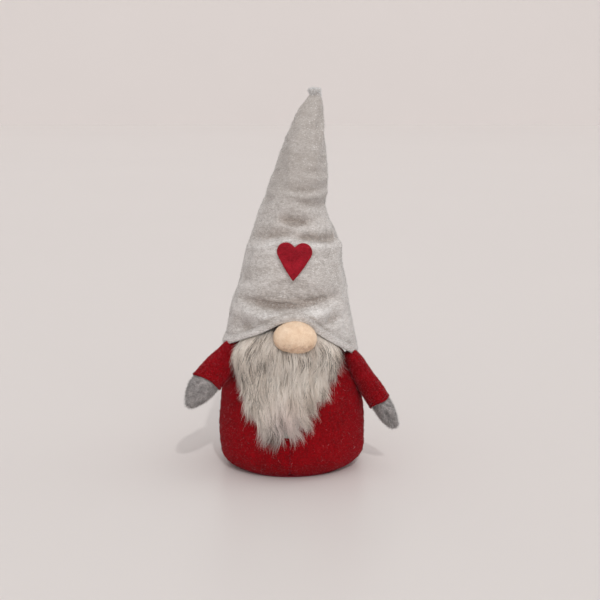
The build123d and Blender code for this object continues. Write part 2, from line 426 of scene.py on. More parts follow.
def glueFinish():
    f = Finish("setGlue")
    cloud = f.noise(0.003, 3, 0.5)
    colour = f.mix(cloud, rgb(214, 206, 182), rgb(238, 232, 214))
    return f.close(colour, 0.25 + cloud * 0.2, f.bump(cloud, 0.0003, 0.4))


finishes = {
    "red_felt": redFelt(), "grey_plush": greyPlush("greyPlush", False), "heart_felt": heartFelt(),
    "nose_fleece": noseFleece(), "mitten_fleece": mittenFleece(), "polyester_fill": fillFinish(),
    "pellets": pelletFinish(), "board": boardFinish(), "glue": glueFinish(),
    "fur_backing": weaveFinish("furBacking", (150, 146, 142), (196, 190, 184), 0.0012),
    "weight_cloth": weaveFinish("weightCloth", (196, 190, 176), (228, 224, 212), 0.0009),
    "red_thread": threadFinish("redThread", (92, 8, 22), (150, 24, 46)),
    "grey_thread": threadFinish("greyThread", (140, 134, 130), (196, 190, 186)),
    "beard_fur": strandFinish("beardFur", (246, 244, 242), (255, 255, 254), 1.0),
}
hatPlush = greyPlush("hatPlush", True)
fuzzFinishes = {
    "red_felt": strandFinish("redFuzz", (205, 205, 205), (255, 255, 255), 0.3, 0.7),
    "grey_plush": strandFinish("plushPile", (232, 232, 232), (255, 255, 255), 0.6, 0.5),
    "nose_fleece": strandFinish("noseFuzz", (220, 220, 220), (255, 255, 255), 0.3, 0.7),
    "mitten_fleece": strandFinish("mittenFuzz", (210, 210, 210), (255, 255, 255), 0.3, 0.7),
    "heart_felt": strandFinish("heartFuzz", (210, 210, 210), (255, 255, 255), 0.3, 0.7),
}
print("finishes ready")


def dress(piece, slot, finish=None):
    piece.data.materials.clear()
    piece.data.materials.append(finish or finishes[slot])


def fuzzOver(cover, name, slot, body, look, seed):
    # a hair is a slim three sided spike lying half flat on the cloth
    rng = np.random.default_rng(seed)
    clearAll()
    bpy.ops.mesh.primitive_cone_add(vertices=3, radius1=0.5, radius2=0, depth=1, location=(0, 0, 0.5))
    hair = bpy.context.object
    settle(hair)
    hairPoints = meshArray(hair)
    hairFaces = [tuple(p.vertices) for p in hair.data.polygons]
    bpy.data.objects.remove(hair)
    mesh = cover.data
    mesh.calc_loop_triangles()
    corners = np.array([t.vertices for t in mesh.loop_triangles])
    points = meshArray(cover)
    a, b, c = points[corners[:, 0]], points[corners[:, 1]], points[corners[:, 2]]
    facing = np.cross(b - a, c - a)
    area = np.linalg.norm(facing, axis=1) + 1e-15
    facing = facing / area[:, None]
    weight = area * look["where"]((a + b + c) / 3, facing) if "where" in look else area
    count = look["count"]
    chosen = rng.choice(len(corners), count, p=weight / weight.sum())
    u, v = rng.random(count), rng.random(count)
    flip = u + v > 1
    u[flip], v[flip] = 1 - u[flip], 1 - v[flip]
    root = a[chosen] + (b - a)[chosen] * u[:, None] + (c - a)[chosen] * v[:, None]
    out = facing[chosen]
    lay = np.array(look["lay"])[None] + rng.normal(0, look["stray"], (count, 3))
    lay = lay - out * (lay * out).sum(1)[:, None]
    lay /= np.linalg.norm(lay, axis=1)[:, None] + 1e-9
    lift = look["lift"] * rng.uniform(0.4, 1.3, count)[:, None]
    along = lay + out * lift
    along /= np.linalg.norm(along, axis=1)[:, None]
    side = np.cross(along, out + 0.01)
    side /= np.linalg.norm(side, axis=1)[:, None] + 1e-9
    third = np.cross(along, side)
    length = look["length"] * rng.uniform(0.5, 1.2, count)[:, None]
    thick = look["thick"] * rng.uniform(0.7, 1.3, count)[:, None]
    root = root - out * look["thick"]
    spots = [root + side * thick * p[0] + third * thick * p[1] + along * length * p[2] for p in hairPoints]
    spots = np.stack(spots, axis=1).reshape(-1, 3)
    dark, light = np.array(rgb(*look["dark"])), np.array(rgb(*look["light"]))
    pick01 = rng.beta(*look.get("spread", (2, 2)), count)[:, None]
    tone = dark * (1 - pick01) + light * pick01
    if "shadeBy" in look:   # painted shade in the folds, painted highlight on the ridges
        flat = np.empty(len(points) * 4)
        mesh.color_attributes[look["shadeBy"]].data.foreach_get("color", flat)
        fold = flat.reshape(-1, 4)[corners[chosen, 0], 0]
        tone[:, :3] *= np.clip(1.45 - 0.9 * fold, 0.4, 1.35)[:, None]
        tone = np.minimum(tone, 1)
    return strandMesh(name, spots, hairFaces, len(hairPoints), tone, slot, body, fuzzFinishes[slot])


def strandMesh(name, spots, faces, perStrand, tone, slot, body, finish):
    total = len(spots) // perStrand
    faceSizes = np.array([len(f) for f in faces])
    flatFace = np.concatenate([np.array(f) for f in faces])
    loops = (flatFace[None] + perStrand * np.arange(total)[:, None]).ravel()
    sizes = np.tile(faceSizes, total)
    starts = np.concatenate([[0], np.cumsum(sizes)[:-1]])
    mesh = bpy.data.meshes.new(name)
    mesh.vertices.add(len(spots))
    mesh.vertices.foreach_set("co", np.asarray(spots).ravel())
    mesh.loops.add(len(loops))
    mesh.loops.foreach_set("vertex_index", loops.astype(np.int32))
    mesh.polygons.add(len(sizes))
    mesh.polygons.foreach_set("loop_start", starts.astype(np.int32))
    mesh.update(calc_edges=True)
    mesh.validate()
    attribute = mesh.color_attributes.new("fibreTone", "FLOAT_COLOR", "POINT")
    if len(tone) == total:
        tone = np.repeat(tone, perStrand, axis=0)
    attribute.data.foreach_set("color", np.asarray(tone).ravel())
    piece = bpy.data.objects.new(name, mesh)
    bpy.context.collection.objects.link(piece)
    smooth(piece)
    dress(piece, slot, finish)
    if body:
        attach(piece, body)
    return piece


# the body: one stuffed cover with a seam down the front and the back
body = {
    # height and half width, mm
    "outline": [(0, 39.4), (2.5, 42.8), (5.5, 46.0), (9, 48.0), (14, 48.8), (22, 48.9), (32, 48.7),
                (42, 47.9), (52, 46.6), (60, 44.2), (68, 40.2), (76, 35.4), (86, 29.0), (96, 21.0),
                (103, 13.0), (106, 6.0)],
    "depth": 0.92, "sides": 72,
    "voxel": 0.003, "pressure": 1.2, "cap": 0.0016,
    "seamDip": 0.0011, "seamWidth": 0.0016,
    "lumpSize": 0.022, "lumpHeight": 0.0009,
    "edgeWave": 0.00012, "lean": 0.9,
}
bodyCurve = smoothTable(body["outline"], 90)


def bodyHalf(z):   # half width of the body at a height, metres
    return alongTable(bodyCurve, z / mm) * mm


def bodyFront(x, z):   # how far forward the body's front surface is
    half = max(bodyHalf(z), 0.001)
    share = min(abs(x) / half, 0.995)
    return half * body["depth"] * math.sqrt(1 - share * share)


def makeBody():
    rings = [(body["lean"] * mm * between(z, 0, 14) * (1 - between(z, 50, 80)), 0, z * mm, half * mm,
              half * mm * body["depth"]) for z, half in body["outline"]]
    piece = raiseRings("bodyCover", rings, body["sides"])
    plump(piece, body["voxel"], body["pressure"], body["cap"], pinBelow=0.004)
    points = meshArray(piece)
    normals = normalArray(piece)
    points[:, 1] *= 1 - 0.07 * np.clip((0.012 - points[:, 2]) / 0.012, 0, 1)
    for i, (p, n) in enumerate(zip(points, normals)):
        rise = between(p[2], 0.002, 0.012)
        swell = lump(p, body["lumpSize"], 3.1) * body["lumpHeight"] * rise
        # the seam pulls the cloth in down the front and the back
        pull = bell(p[0], body["seamWidth"]) * body["seamDip"] * between(abs(n[1]), 0.15, 0.5)
        pucker = 1 + 0.5 * math.sin(p[2] * 1500)
        wave = math.sin(p[2] * 950 + 4 * p[1]) * body["edgeWave"] * abs(n[0]) * rise
        points[i] = p + n * (swell + wave - pull * pucker)
        points[i][2] = max(points[i][2], 0.0001)
    setMeshArray(piece, points)
    dress(piece, "red_felt")
    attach(piece, "figure")
    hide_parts("body_cover_left", "body_cover_right")
    return piece


bodyCover = makeBody()


bodyFilling = {"inset": 0.0042, "voxel": 0.005, "lump": 0.012, "height": 0.0013, "seed": 6.0,
               "armHollow": 0.013}


def makeFilling(name, rings, look, adjust):   # rough lumps of white fibre, clear of the cover
    piece = raiseRings(name, rings, 40)
    useModifier(piece, "REMESH", mode="VOXEL", voxel_size=look["voxel"])
    points = meshArray(piece)
    for i, (p, n) in enumerate(zip(points, normalArray(piece))):
        points[i] = p + n * (lump(p, look["lump"], look["seed"]) * look["height"] - 0.0006)
    adjust(points)
    setMeshArray(piece, points)
    smooth(piece)
    dress(piece, "polyester_fill")
    return piece


def hollowAtArms(points):   # hollow where an arm's seam turns
    for name in ("left_arm_raise", "right_arm_raise"):
        away = points - np.array(jointPlace[name])
        far = np.linalg.norm(away, axis=1, keepdims=True)
        points += away / far * np.maximum(bodyFilling["armHollow"] - far, 0)


def makeBodyFilling():
    rings = []
    for z in range(6, 102, 6):
        half = max(bodyHalf(z * mm) - bodyFilling["inset"], 0.002)
        rings.append((0, 0, z * mm, half, half * body["depth"]))
    piece = makeFilling("bodyFilling", rings, bodyFilling, hollowAtArms)
    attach(piece, "figure")
    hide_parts("body_stuffing")


makeBodyFilling()
print("body made")


def surfaceOf(piece):   # for rays that look for the surface
    pick(piece)
    return BVHTree.FromObject(piece, bpy.context.evaluated_depsgraph_get())


def stitchLine(name, tree, rows, slot, body, nodes, thick=0.0003, length=0.0021):
    # one rounded stitch, modelled once and copied along a seam; a row is (where from, direction, heading)
    clearAll()
    bpy.ops.mesh.primitive_cylinder_add(vertices=8, radius=thick, depth=length * 0.7)
    stitch = bpy.context.object
    bpy.ops.object.mode_set(mode="EDIT")
    bpy.ops.mesh.select_all(action="DESELECT")
    work = bmesh.from_edit_mesh(stitch.data)
    for end in (1, -1):
        for face in work.faces:
            face.select = face.normal.z * end > 0.9
        bpy.ops.mesh.extrude_region_move(TRANSFORM_OT_translate={"value": (0, 0, end * length * 0.15)})
        bpy.ops.transform.resize(value=(0.5, 0.5, 1), center_override=(0, 0, end * length * 0.5))
        work = bmesh.from_edit_mesh(stitch.data)
    bpy.ops.object.mode_set(mode="OBJECT")
    made = []
    for start, aim, heading in rows:
        hit, normal, _, _ = tree.ray_cast(Vector(start), Vector(aim))
        if hit is None:
            continue
        along = Vector(heading) - normal * normal.dot(Vector(heading))
        along.normalize()
        frameTurn = Matrix((normal.cross(along), normal, along)).transposed().to_4x4()
        copy = bpy.data.objects.new(name, stitch.data.copy())
        bpy.context.collection.objects.link(copy)
        copy.matrix_world = Matrix.Translation(hit + normal * thick * 0.3) @ frameTurn
        made.append(copy)
    bpy.data.objects.remove(stitch)
    clearAll()
    for copy in made:
        copy.select_set(True)
    bpy.context.view_layer.objects.active = made[0]
    bpy.ops.object.join()
    piece = bpy.context.object
    piece.name = name
    settle(piece)
    smooth(piece)
    dress(piece, slot)
    if body:
        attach(piece, body)
    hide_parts(*nodes)
    return piece


bodyTree = surfaceOf(bodyCover)
bodyStitches = {"lowest": 0.004, "step": 0.003, "count": 24}


def sewBody(name, side, node):   # side is -1 in front and 1 at the back
    heights = [bodyStitches["lowest"] + i * bodyStitches["step"] for i in range(bodyStitches["count"])]
    rows = [((0, side * 0.2, z), (0, -side, 0), (0, 0, 1)) for z in heights]
    stitchLine(name, bodyTree, rows, "red_thread", "figure", (node,))


sewBody("bodyFrontStitches", -1, "body_front_seam")
sewBody("bodyBackStitches", 1, "body_back_seam")

fuzzOver(bodyCover, "bodyFuzz", "red_felt", "figure", {
    "count": 26000, "length": 0.0015, "thick": 0.00014, "lay": (0.1, 0, -1), "stray": 1.1, "lift": 0.6,
    "dark": (108, 4, 10), "light": (196, 20, 40), "spread": (0.8, 2.4)}, 11)


def mostlyInFront(centre, facing):
    return np.linalg.norm(facing, axis=1) * (0.15 + (facing[:, 1] < -0.2) * 1.0)


# a few pale loose fibres caught on the cloth, as the beard sheds
fuzzOver(bodyCover, "bodyLint", "red_felt", "figure", {
    "count": 260, "length": 0.0042, "thick": 0.00011, "lay": (0.2, 0, -1), "stray": 0.8, "lift": 0.12,
    "dark": (190, 110, 120), "light": (246, 226, 226), "where": mostlyInFront}, 12)
print("body covered")


# the hat: a cone of plush, pressed into folds, with a turned hem
hat = {
    # height, left edge and right edge as seen from the front
    "edges": [(74, -46.4, 44.6), (83, -44.8, 43.6), (92, -41.8, 41.6), (100, -39.6, 39.4),
              (110, -38.4, 37.6), (123, -35.4, 37.0), (135, -32.9, 36.2), (144, -30.5, 35.6),
              (150, -28.9, 34.2), (156, -27.3, 32.0), (165, -24.0, 27.6), (172, -21.8, 24.9),
              (178, -19.4, 25.3), (184, -16.8, 26.4), (192, -14.2, 26.6), (200, -11.0, 25.8),
              (212, -6.6, 25.2), (222, -1.8, 23.4), (230, 3.0, 22.0), (235, 5.8, 21.4),
              (239, 8.6, 20.9), (242.6, 11.4, 20.0)],
    "depth": 0.91, "sides": 96, "rings": 84,
    # the brim's height from left to right across the front, and at the back
    "brim": [(-1.0, 83.0), (-0.93, 84.6), (-0.74, 90.0), (-0.48, 95.2), (-0.30, 98.8),
             (-0.14, 102.0), (0.05, 103.6), (0.22, 102.0), (0.40, 96.6), (0.69, 87.8), (0.92, 79.0),
             (1.0, 75.2)],
    "backLow": 77.0,
    "drawnUp": 46,   # how much of the cone is drawn up to the brim, mm
    "thick": 0.0014,
    "pressure": 0.7, "cap": 0.0022,
    "lumpSize": 0.02, "lumpHeight": 0.0011,
    # the folds fade in above the brim and fade out near the tip, mm
    "foldsFrom": (1, 9), "foldsTo": (232, 241),
    # height above the edge in mm, width in mm and depth in m of the stitched line and of the roll below it
    "hemLine": (6.2, 1.3, 0.0012), "hemRoll": (2.4, 2.6, 0.0010),
    # where the cloth rests on the nose: sideways and height in mm, and how far it is held out in m
    "noseRest": (3, 103, 0.0042),
}
# folds in the hat's front: run from and to (sideways, height), how deep, how wide, and how much
# the cloth swells just below the fold
hatFolds = [
    {"line": [(-30, 146), (-16, 149), (-4, 153), (9, 158)], "deep": -2.2, "wide": 2.0, "swell": 1.2},
    {"line": [(-26, 154), (-8, 158.5), (4, 161.5)], "deep": 2.8, "wide": 4.4, "swell": 0.0},
    {"line": [(0, 157), (12, 155.5), (26, 153.5), (36, 152.5)], "deep": 5.0, "wide": 2.9, "swell": 2.4},
    {"line": [(-9, 168), (4, 165.5), (14, 165)], "deep": 3.8, "wide": 2.8, "swell": 0.6},
    {"line": [(-4, 186), (10, 184), (27, 186.5)], "deep": 1.7, "wide": 2.0, "swell": 1.5},
    {"line": [(4, 178), (14, 175), (26, 174)], "deep": 1.7, "wide": 2.2, "swell": 1.2},
    {"line": [(8, 196), (26, 195)], "deep": 0.8, "wide": 2.0, "swell": 1.0},
    {"line": [(-28, 115), (-8, 112.5), (8, 114), (28, 117)], "deep": 4.6, "wide": 4.2, "swell": 3.0},
    {"line": [(-34, 96), (-24, 99)], "deep": 2.4, "wide": 3.0, "swell": 0.8},
    {"line": [(22, 101), (34, 104)], "deep": 2.8, "wide": 3.2, "swell": 1.2},
    {"line": [(-34, 127), (-24, 130)], "deep": 1.2, "wide": 4.4, "swell": 0.5},
    {"line": [(-18, 176), (-10, 179)], "deep": 1.4, "wide": 2.6, "swell": 0.8},
]
backFolds = [
    {"line": [(-26, 158), (-4, 154), (22, 156)], "deep": 1.7, "wide": 4.0, "swell": 0.7},
    {"line": [(-14, 178), (4, 175), (20, 179)], "deep": 1.1, "wide": 3.2, "swell": 0.5},
    {"line": [(-30, 116), (-8, 112), (18, 115)], "deep": 1.5, "wide": 4.8, "swell": 0.7},
    {"line": [(-8, 198), (14, 201)], "deep": 1.0, "wide": 2.4, "swell": 0.5},
]


def foldMove(x, z, fold):   # inward movement in mm at (x, z) in mm for one fold
    best = None
    line = fold["line"]
    length = sum(math.dist(line[i], line[i + 1]) for i in range(len(line) - 1))
    walked = 0.0
    for i in range(len(line) - 1):
        (ax, az), (bx, bz) = line[i], line[i + 1]
        span = math.dist(line[i], line[i + 1])
        t = ((x - ax) * (bx - ax) + (z - az) * (bz - az)) / span ** 2
        held = min(max(t, 0.0), 1.0)
        px, pz = ax + (bx - ax) * held, az + (bz - az) * held
        gap = math.dist((x, z), (px, pz))
        if best is None or gap < best[0]:
            over = z - pz
            best = (gap, over, (walked + span * held) / length)
        walked += span
    gap, over, share = best
    ends = math.sin(math.pi * min(max(share * 0.9 + 0.05, 0.0), 1.0)) ** 0.6
    wide = fold["wide"] * (1.35 if over > 0 else 0.8)   # steep below, gentle above
    dent = bell(gap, wide) * fold["deep"]
    below = bell(over + fold["wide"] * 1.7, fold["wide"] * 1.1) * (gap < fold["wide"] * 5)
    return (dent - below * fold["swell"]) * ends


def hatEdge(z, side):
    table = hatLeft if side < 0 else hatRight
    return alongTable(table, z / mm) * mm


hatLeft = smoothTable([(z, left) for z, left, _ in hat["edges"]], 160)
hatRight = smoothTable([(z, right) for z, _, right in hat["edges"]], 160)
brimCurve = smoothTable(hat["brim"], 120)


def brimHeight(angle):   # height of the brim's edge; angle 0 is the right side, -90 degrees the front
    x, y = math.cos(angle), math.sin(angle)
    if y <= 0:
        return alongTable(brimCurve, x) * mm
    side = hat["brim"][-1][1] if x > 0 else hat["brim"][0][1]
    return (side * abs(x) ** 1.5 + (1 - abs(x) ** 1.5) * hat["backLow"]) * mm


def makeHat():
    top = hat["edges"][-1][0] * mm
    count, sides = hat["rings"], hat["sides"]
    rings = []
    low = hat["edges"][0][0] * mm
    for i in range(count + 1):
        z = low + (top - low) * i / count
        left, right = hatEdge(z, -1), hatEdge(z, 1)
        half = (right - left) / 2
        rings.append(((left + right) / 2, 0, z, half, half * hat["depth"]))
    left, right = hatEdge(top, -1), hatEdge(top, 1)
    middle, half = (left + right) / 2, (right - left) / 2
    for step in (0.4, 0.75, 0.95):   # rounded top
        shrink = math.sqrt(1 - step * step)
        rings.append((middle, 0, top + half * step * 0.45, half * shrink, half * shrink * 0.8))
    piece = raiseRings("hatCloth", rings, sides)
    points = meshArray(piece)
    # the lowest rings are drawn up to the brim line, which arches over the nose
    for i, p in enumerate(points):
        reach = hat["drawnUp"] * mm
        centre = (hatEdge(p[2], -1) + hatEdge(p[2], 1)) / 2 if p[2] < top else middle
        angle = math.atan2(p[1], p[0] - centre)
        edge = brimHeight(angle)
        if p[2] < low + reach:
            share = (p[2] - low) / reach
            newHeight = edge + (low + reach - edge) * share
            oldLeft, oldRight = hatEdge(p[2], -1), hatEdge(p[2], 1)
            newLeft, newRight = hatEdge(newHeight, -1), hatEdge(newHeight, 1)
            stretch = (newRight - newLeft) / (oldRight - oldLeft)
            p[0] = (newLeft + newRight) / 2 + (p[0] - (oldLeft + oldRight) / 2) * stretch
            p[1] *= stretch
            p[2] = newHeight
    setMeshArray(piece, points)
    plumpOpen(piece)
    return piece


def plumpOpen(piece):   # the hat swells too, held at the brim and at the tip
    group = piece.vertex_groups.new(name="held")
    for i, p in enumerate(meshArray(piece)):
        edge = brimHeight(math.atan2(p[1], p[0]))
        hold = 1 - between(p[2], edge + 0.001, edge + 0.016)
        hold = max(hold, between(p[2], 0.230, 0.240))
        if hold > 0:
            group.add([i], hold, "REPLACE")
    # a little extra cloth, so that it puckers
    underPressure(piece, hat["pressure"], hat["cap"], 20, bending_stiffness=0.2, shrink_min=-0.03,
                  vertex_group_mass="held")


def finishHat(piece):
    # open the bottom, press in the folds, then give the cloth its thickness
    pick(piece)
    bpy.ops.object.mode_set(mode="EDIT")
    bpy.ops.mesh.select_all(action="DESELECT")
    work = bmesh.from_edit_mesh(piece.data)
    for face in work.faces:
        face.select = len(face.verts) > 8 and face.calc_center_median().z < 0.12
    bpy.ops.mesh.delete(type="FACE")
    bpy.ops.object.mode_set(mode="OBJECT")
    useModifier(piece, "SUBSURF", levels=1, render_levels=1)
    points = meshArray(piece)
    normals = normalArray(piece)
    shade = np.zeros(len(points))
    foldsLow, foldsHigh = hat["foldsFrom"]
    lineUp, lineWide, lineDeep = hat["hemLine"]
    rollUp, rollWide, rollOut = hat["hemRoll"]
    restX, restZ, restOut = hat["noseRest"]
    for i, (p, n) in enumerate(zip(points, normals)):
        x, z = p[0] / mm, p[2] / mm
        edge = brimHeight(math.atan2(p[1], p[0] - 0.001)) / mm
        free = between(z, edge + foldsLow, edge + foldsHigh) * (1 - between(z, *hat["foldsTo"]))
        folds = hatFolds if p[1] < 0 else backFolds
        facing = between(abs(n[1]), 0.05, 0.45)
        inward = sum(foldMove(x, z, fold) for fold in folds) * mm * (0.35 + 0.65 * facing)
        swell = lump(p, hat["lumpSize"], 7.7) * hat["lumpHeight"]
        swell += lump((p[0], p[1], p[2] * 2.2), 0.008, 1.3) * 0.00045
        # the turned hem is thick, with a line of stitches drawn in above it
        hemLine = bell(z - edge - lineUp, lineWide) * lineDeep * facing
        roll = bell(z - edge - rollUp, rollWide) * rollOut * (0.3 + 0.7 * facing)
        # and the cloth rests on the nose
        rest = math.exp(-((x - restX) / 14) ** 2 - ((z - restZ) / 7) ** 2) * restOut * (p[1] < 0)
        # painted shading: darker where the cloth is pressed in, paler on the hem roll and where it rests on
        # the nose
        pressed = inward + hemLine * 1.3 - roll * 0.5 - rest * 0.35
        shade[i] = pressed / mm * free if z > edge + 6 else hemLine / mm
        points[i] = p + n * (swell * free - inward * free - hemLine + roll + rest)
    setMeshArray(piece, points)
    attribute = piece.data.color_attributes.new("pressed", "FLOAT_COLOR", "POINT")
    shade = np.clip(0.5 + shade * 0.13, 0, 1)
    attribute.data.foreach_set("color", np.stack([shade, shade, shade, np.ones_like(shade)], axis=1).ravel())
    useModifier(piece, "SOLIDIFY", thickness=hat["thick"], offset=-1.0, use_rim=True)
    smooth(piece)
    dress(piece, "grey_plush", hatPlush)
    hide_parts("hat_cloth", "hat_tip_cloth")
    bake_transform(piece)


hatCloth = makeHat()
finishHat(hatCloth)
print("hat made")


def outside(centre, facing):   # the faces that look outwards
    return (facing[:, 0] * (centre[:, 0] - 0.004) + facing[:, 1] * centre[:, 1]) > 0


def glintShare(centre, facing):   # painted glints: mostly down the right side, and fewer towards the tip
    right = np.clip((centre[:, 0] - 0.006) / 0.024, 0, 1) ** 1.5
    return outside(centre, facing) * (0.12 + right) * (1.6 - np.clip(centre[:, 2] / 0.16, 0.6, 1.4))


pileLook = {
    "count": 32000, "length": 0.0017, "thick": 0.00016, "lay": (0.25, 0, -1), "stray": 0.6, "lift": 0.65,
    "dark": (150, 142, 137), "light": (246, 243, 241), "spread": (1.1, 1.2), "shadeBy": "pressed",
    "where": lambda centre, facing: 0.02 + 0.98 * outside(centre, facing)}
hatPile = fuzzOver(hatCloth, "hatPile", "grey_plush", None, pileLook, 21)
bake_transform(hatPile)
glintLook = {   # pile standing up, painted near white as glints
    "count": 18000, "length": 0.0012, "thick": 0.00046, "lay": (0.5, 0, 0.6), "stray": 1.2, "lift": 1.0,
    "dark": (226, 224, 222), "light": (255, 255, 255), "shadeBy": "pressed", "where": glintShare}
hatGlints = fuzzOver(hatCloth, "hatGlints", "grey_plush", None, glintLook, 23)
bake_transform(hatGlints)

hatFilling = {"shrink": 0.0098, "cloth": 0.0015, "voxel": 0.004, "lump": 0.011, "height": 0.0012,
              "seed": 5.0}


def clearOfNose(points):   # keep clear of the arch over the nose
    front = points[:, 1] < 0
    points[front, 2] = np.maximum(points[front, 2], 0.104 - 0.3 * np.abs(points[front, 0]))


def makeHatFilling():
    rings = []
    for z in range(92, 241, 6):
        left, right = hatEdge(z * mm, -1), hatEdge(z * mm, 1)
        half = max((right - left) / 2 - hatFilling["shrink"] - hatFilling["cloth"], 0.001)
        rings.append(((left + right) / 2, 0, z * mm, half, half * hat["depth"]))
    piece = makeFilling("hatFilling", rings, hatFilling, clearOfNose)
    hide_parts("hat_stuffing", "hat_tip_stuffing")
    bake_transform(piece)


makeHatFilling()


# how far in from the cloth's edge line, heights of its three rows above the brim in mm, thickness
hem = {"inset": 0.0038, "rows": (0.6, 3.5, 6.4), "thick": 0.0009, "sides": 96}


def makeHem():   # the turned-in edge inside the brim
    rows = hem["rows"]
    clearAll()
    bpy.ops.mesh.primitive_cylinder_add(vertices=hem["sides"], radius=1, depth=1, end_fill_type="NOTHING")
    piece = bpy.context.object
    piece.name = "hatHem"
    bpy.ops.object.mode_set(mode="EDIT")
    bpy.ops.mesh.select_all(action="SELECT")
    bpy.ops.mesh.subdivide(number_cuts=1)
    bpy.ops.object.mode_set(mode="OBJECT")
    points = meshArray(piece)
    for i, p in enumerate(points):
        angle = math.atan2(p[1], p[0])
        row = rows[0] if p[2] < -0.25 else rows[2] if p[2] > 0.25 else rows[1]
        z = brimHeight(angle) + row * mm
        left, right = hatEdge(z, -1), hatEdge(z, 1)
        half = (right - left) / 2 - hem["inset"]
        points[i] = ((left + right) / 2 + half * math.cos(angle), half * hat["depth"] * math.sin(angle), z)
    setMeshArray(piece, points)
    useModifier(piece, "SOLIDIFY", thickness=hem["thick"], offset=-1.0)
    useModifier(piece, "SUBSURF", levels=1, render_levels=1)
    smooth(piece)
    dress(piece, "grey_plush")
    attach(piece, "figure")
    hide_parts("hat_hem")


makeHem()

hatTree = surfaceOf(hatCloth)
hatRows = []
for i in range(50):
    z = 0.082 + i * 0.003
    middle = (hatEdge(z, -1) + hatEdge(z, 1)) / 2
    hatRows.append(((middle, 0.2, z), (0, -1, 0), (0.15, 0, 1)))
hatStitches = stitchLine("hatBackStitches", hatTree, hatRows, "grey_thread", None,
                         ("hat_back_seam", "hat_tip_seam"))
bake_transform(hatStitches)

tuft = {"place": (16.6, 0, 241.6), "tall": 6.2, "wide": 3.6, "deep": 2.0}


def makeTuft():   # the gathered scrap of cloth on the very tip
    x, y, base = (part * mm for part in tuft["place"])
    steps = [(0, 0.95), (0.25, 0.86), (0.5, 0.9), (0.8, 1.0), (1.0, 0.85)]
    rings = [(x - 0.0012 * t, y, base + t * tuft["tall"] * mm,
              tuft["wide"] * mm * w, tuft["deep"] * mm * (w + 0.4)) for t, w in steps]
    piece = raiseRings("hatTipTuft", rings, 20)
    useModifier(piece, "SUBSURF", levels=2, render_levels=2)
    points = meshArray(piece)
    for i, (p, n) in enumerate(zip(points, normalArray(piece))):
        pleat = math.sin(math.atan2(p[1] - y, p[0] - x) * 7) * 0.0002
        points[i] = p + n * (pleat + lump(p, 0.002, 4) * 0.0007)
    setMeshArray(piece, points)
    smooth(piece)
    # with no fold shading of its own, the tuft takes the plush's painted ridge highlight all over
    dress(piece, "grey_plush", hatPlush)
    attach(piece, "hat_tip")
    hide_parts("hat_tip_tuft")
    fuzzOver(piece, "hatTipTuftPile", "grey_plush", "hat_tip", {
        "count": 1300, "length": 0.0019, "thick": 0.0003, "lay": (0, 0, 1), "stray": 0.9, "lift": 1.0,
        "dark": (226, 222, 220), "light": (255, 255, 255)}, 22)


makeTuft()
print("hat covered")

# the heart: a scrap of thick felt laid on the hat
heart = {"wide": 22.4, "tall": 24.4, "thick": 1.5, "lobe": 0.265, "roll": -3.0, "lobePoints": 24,
         "sidePoints": 12, "voxel": 0.00042, "bend": 2.8, "lift": 0.7}


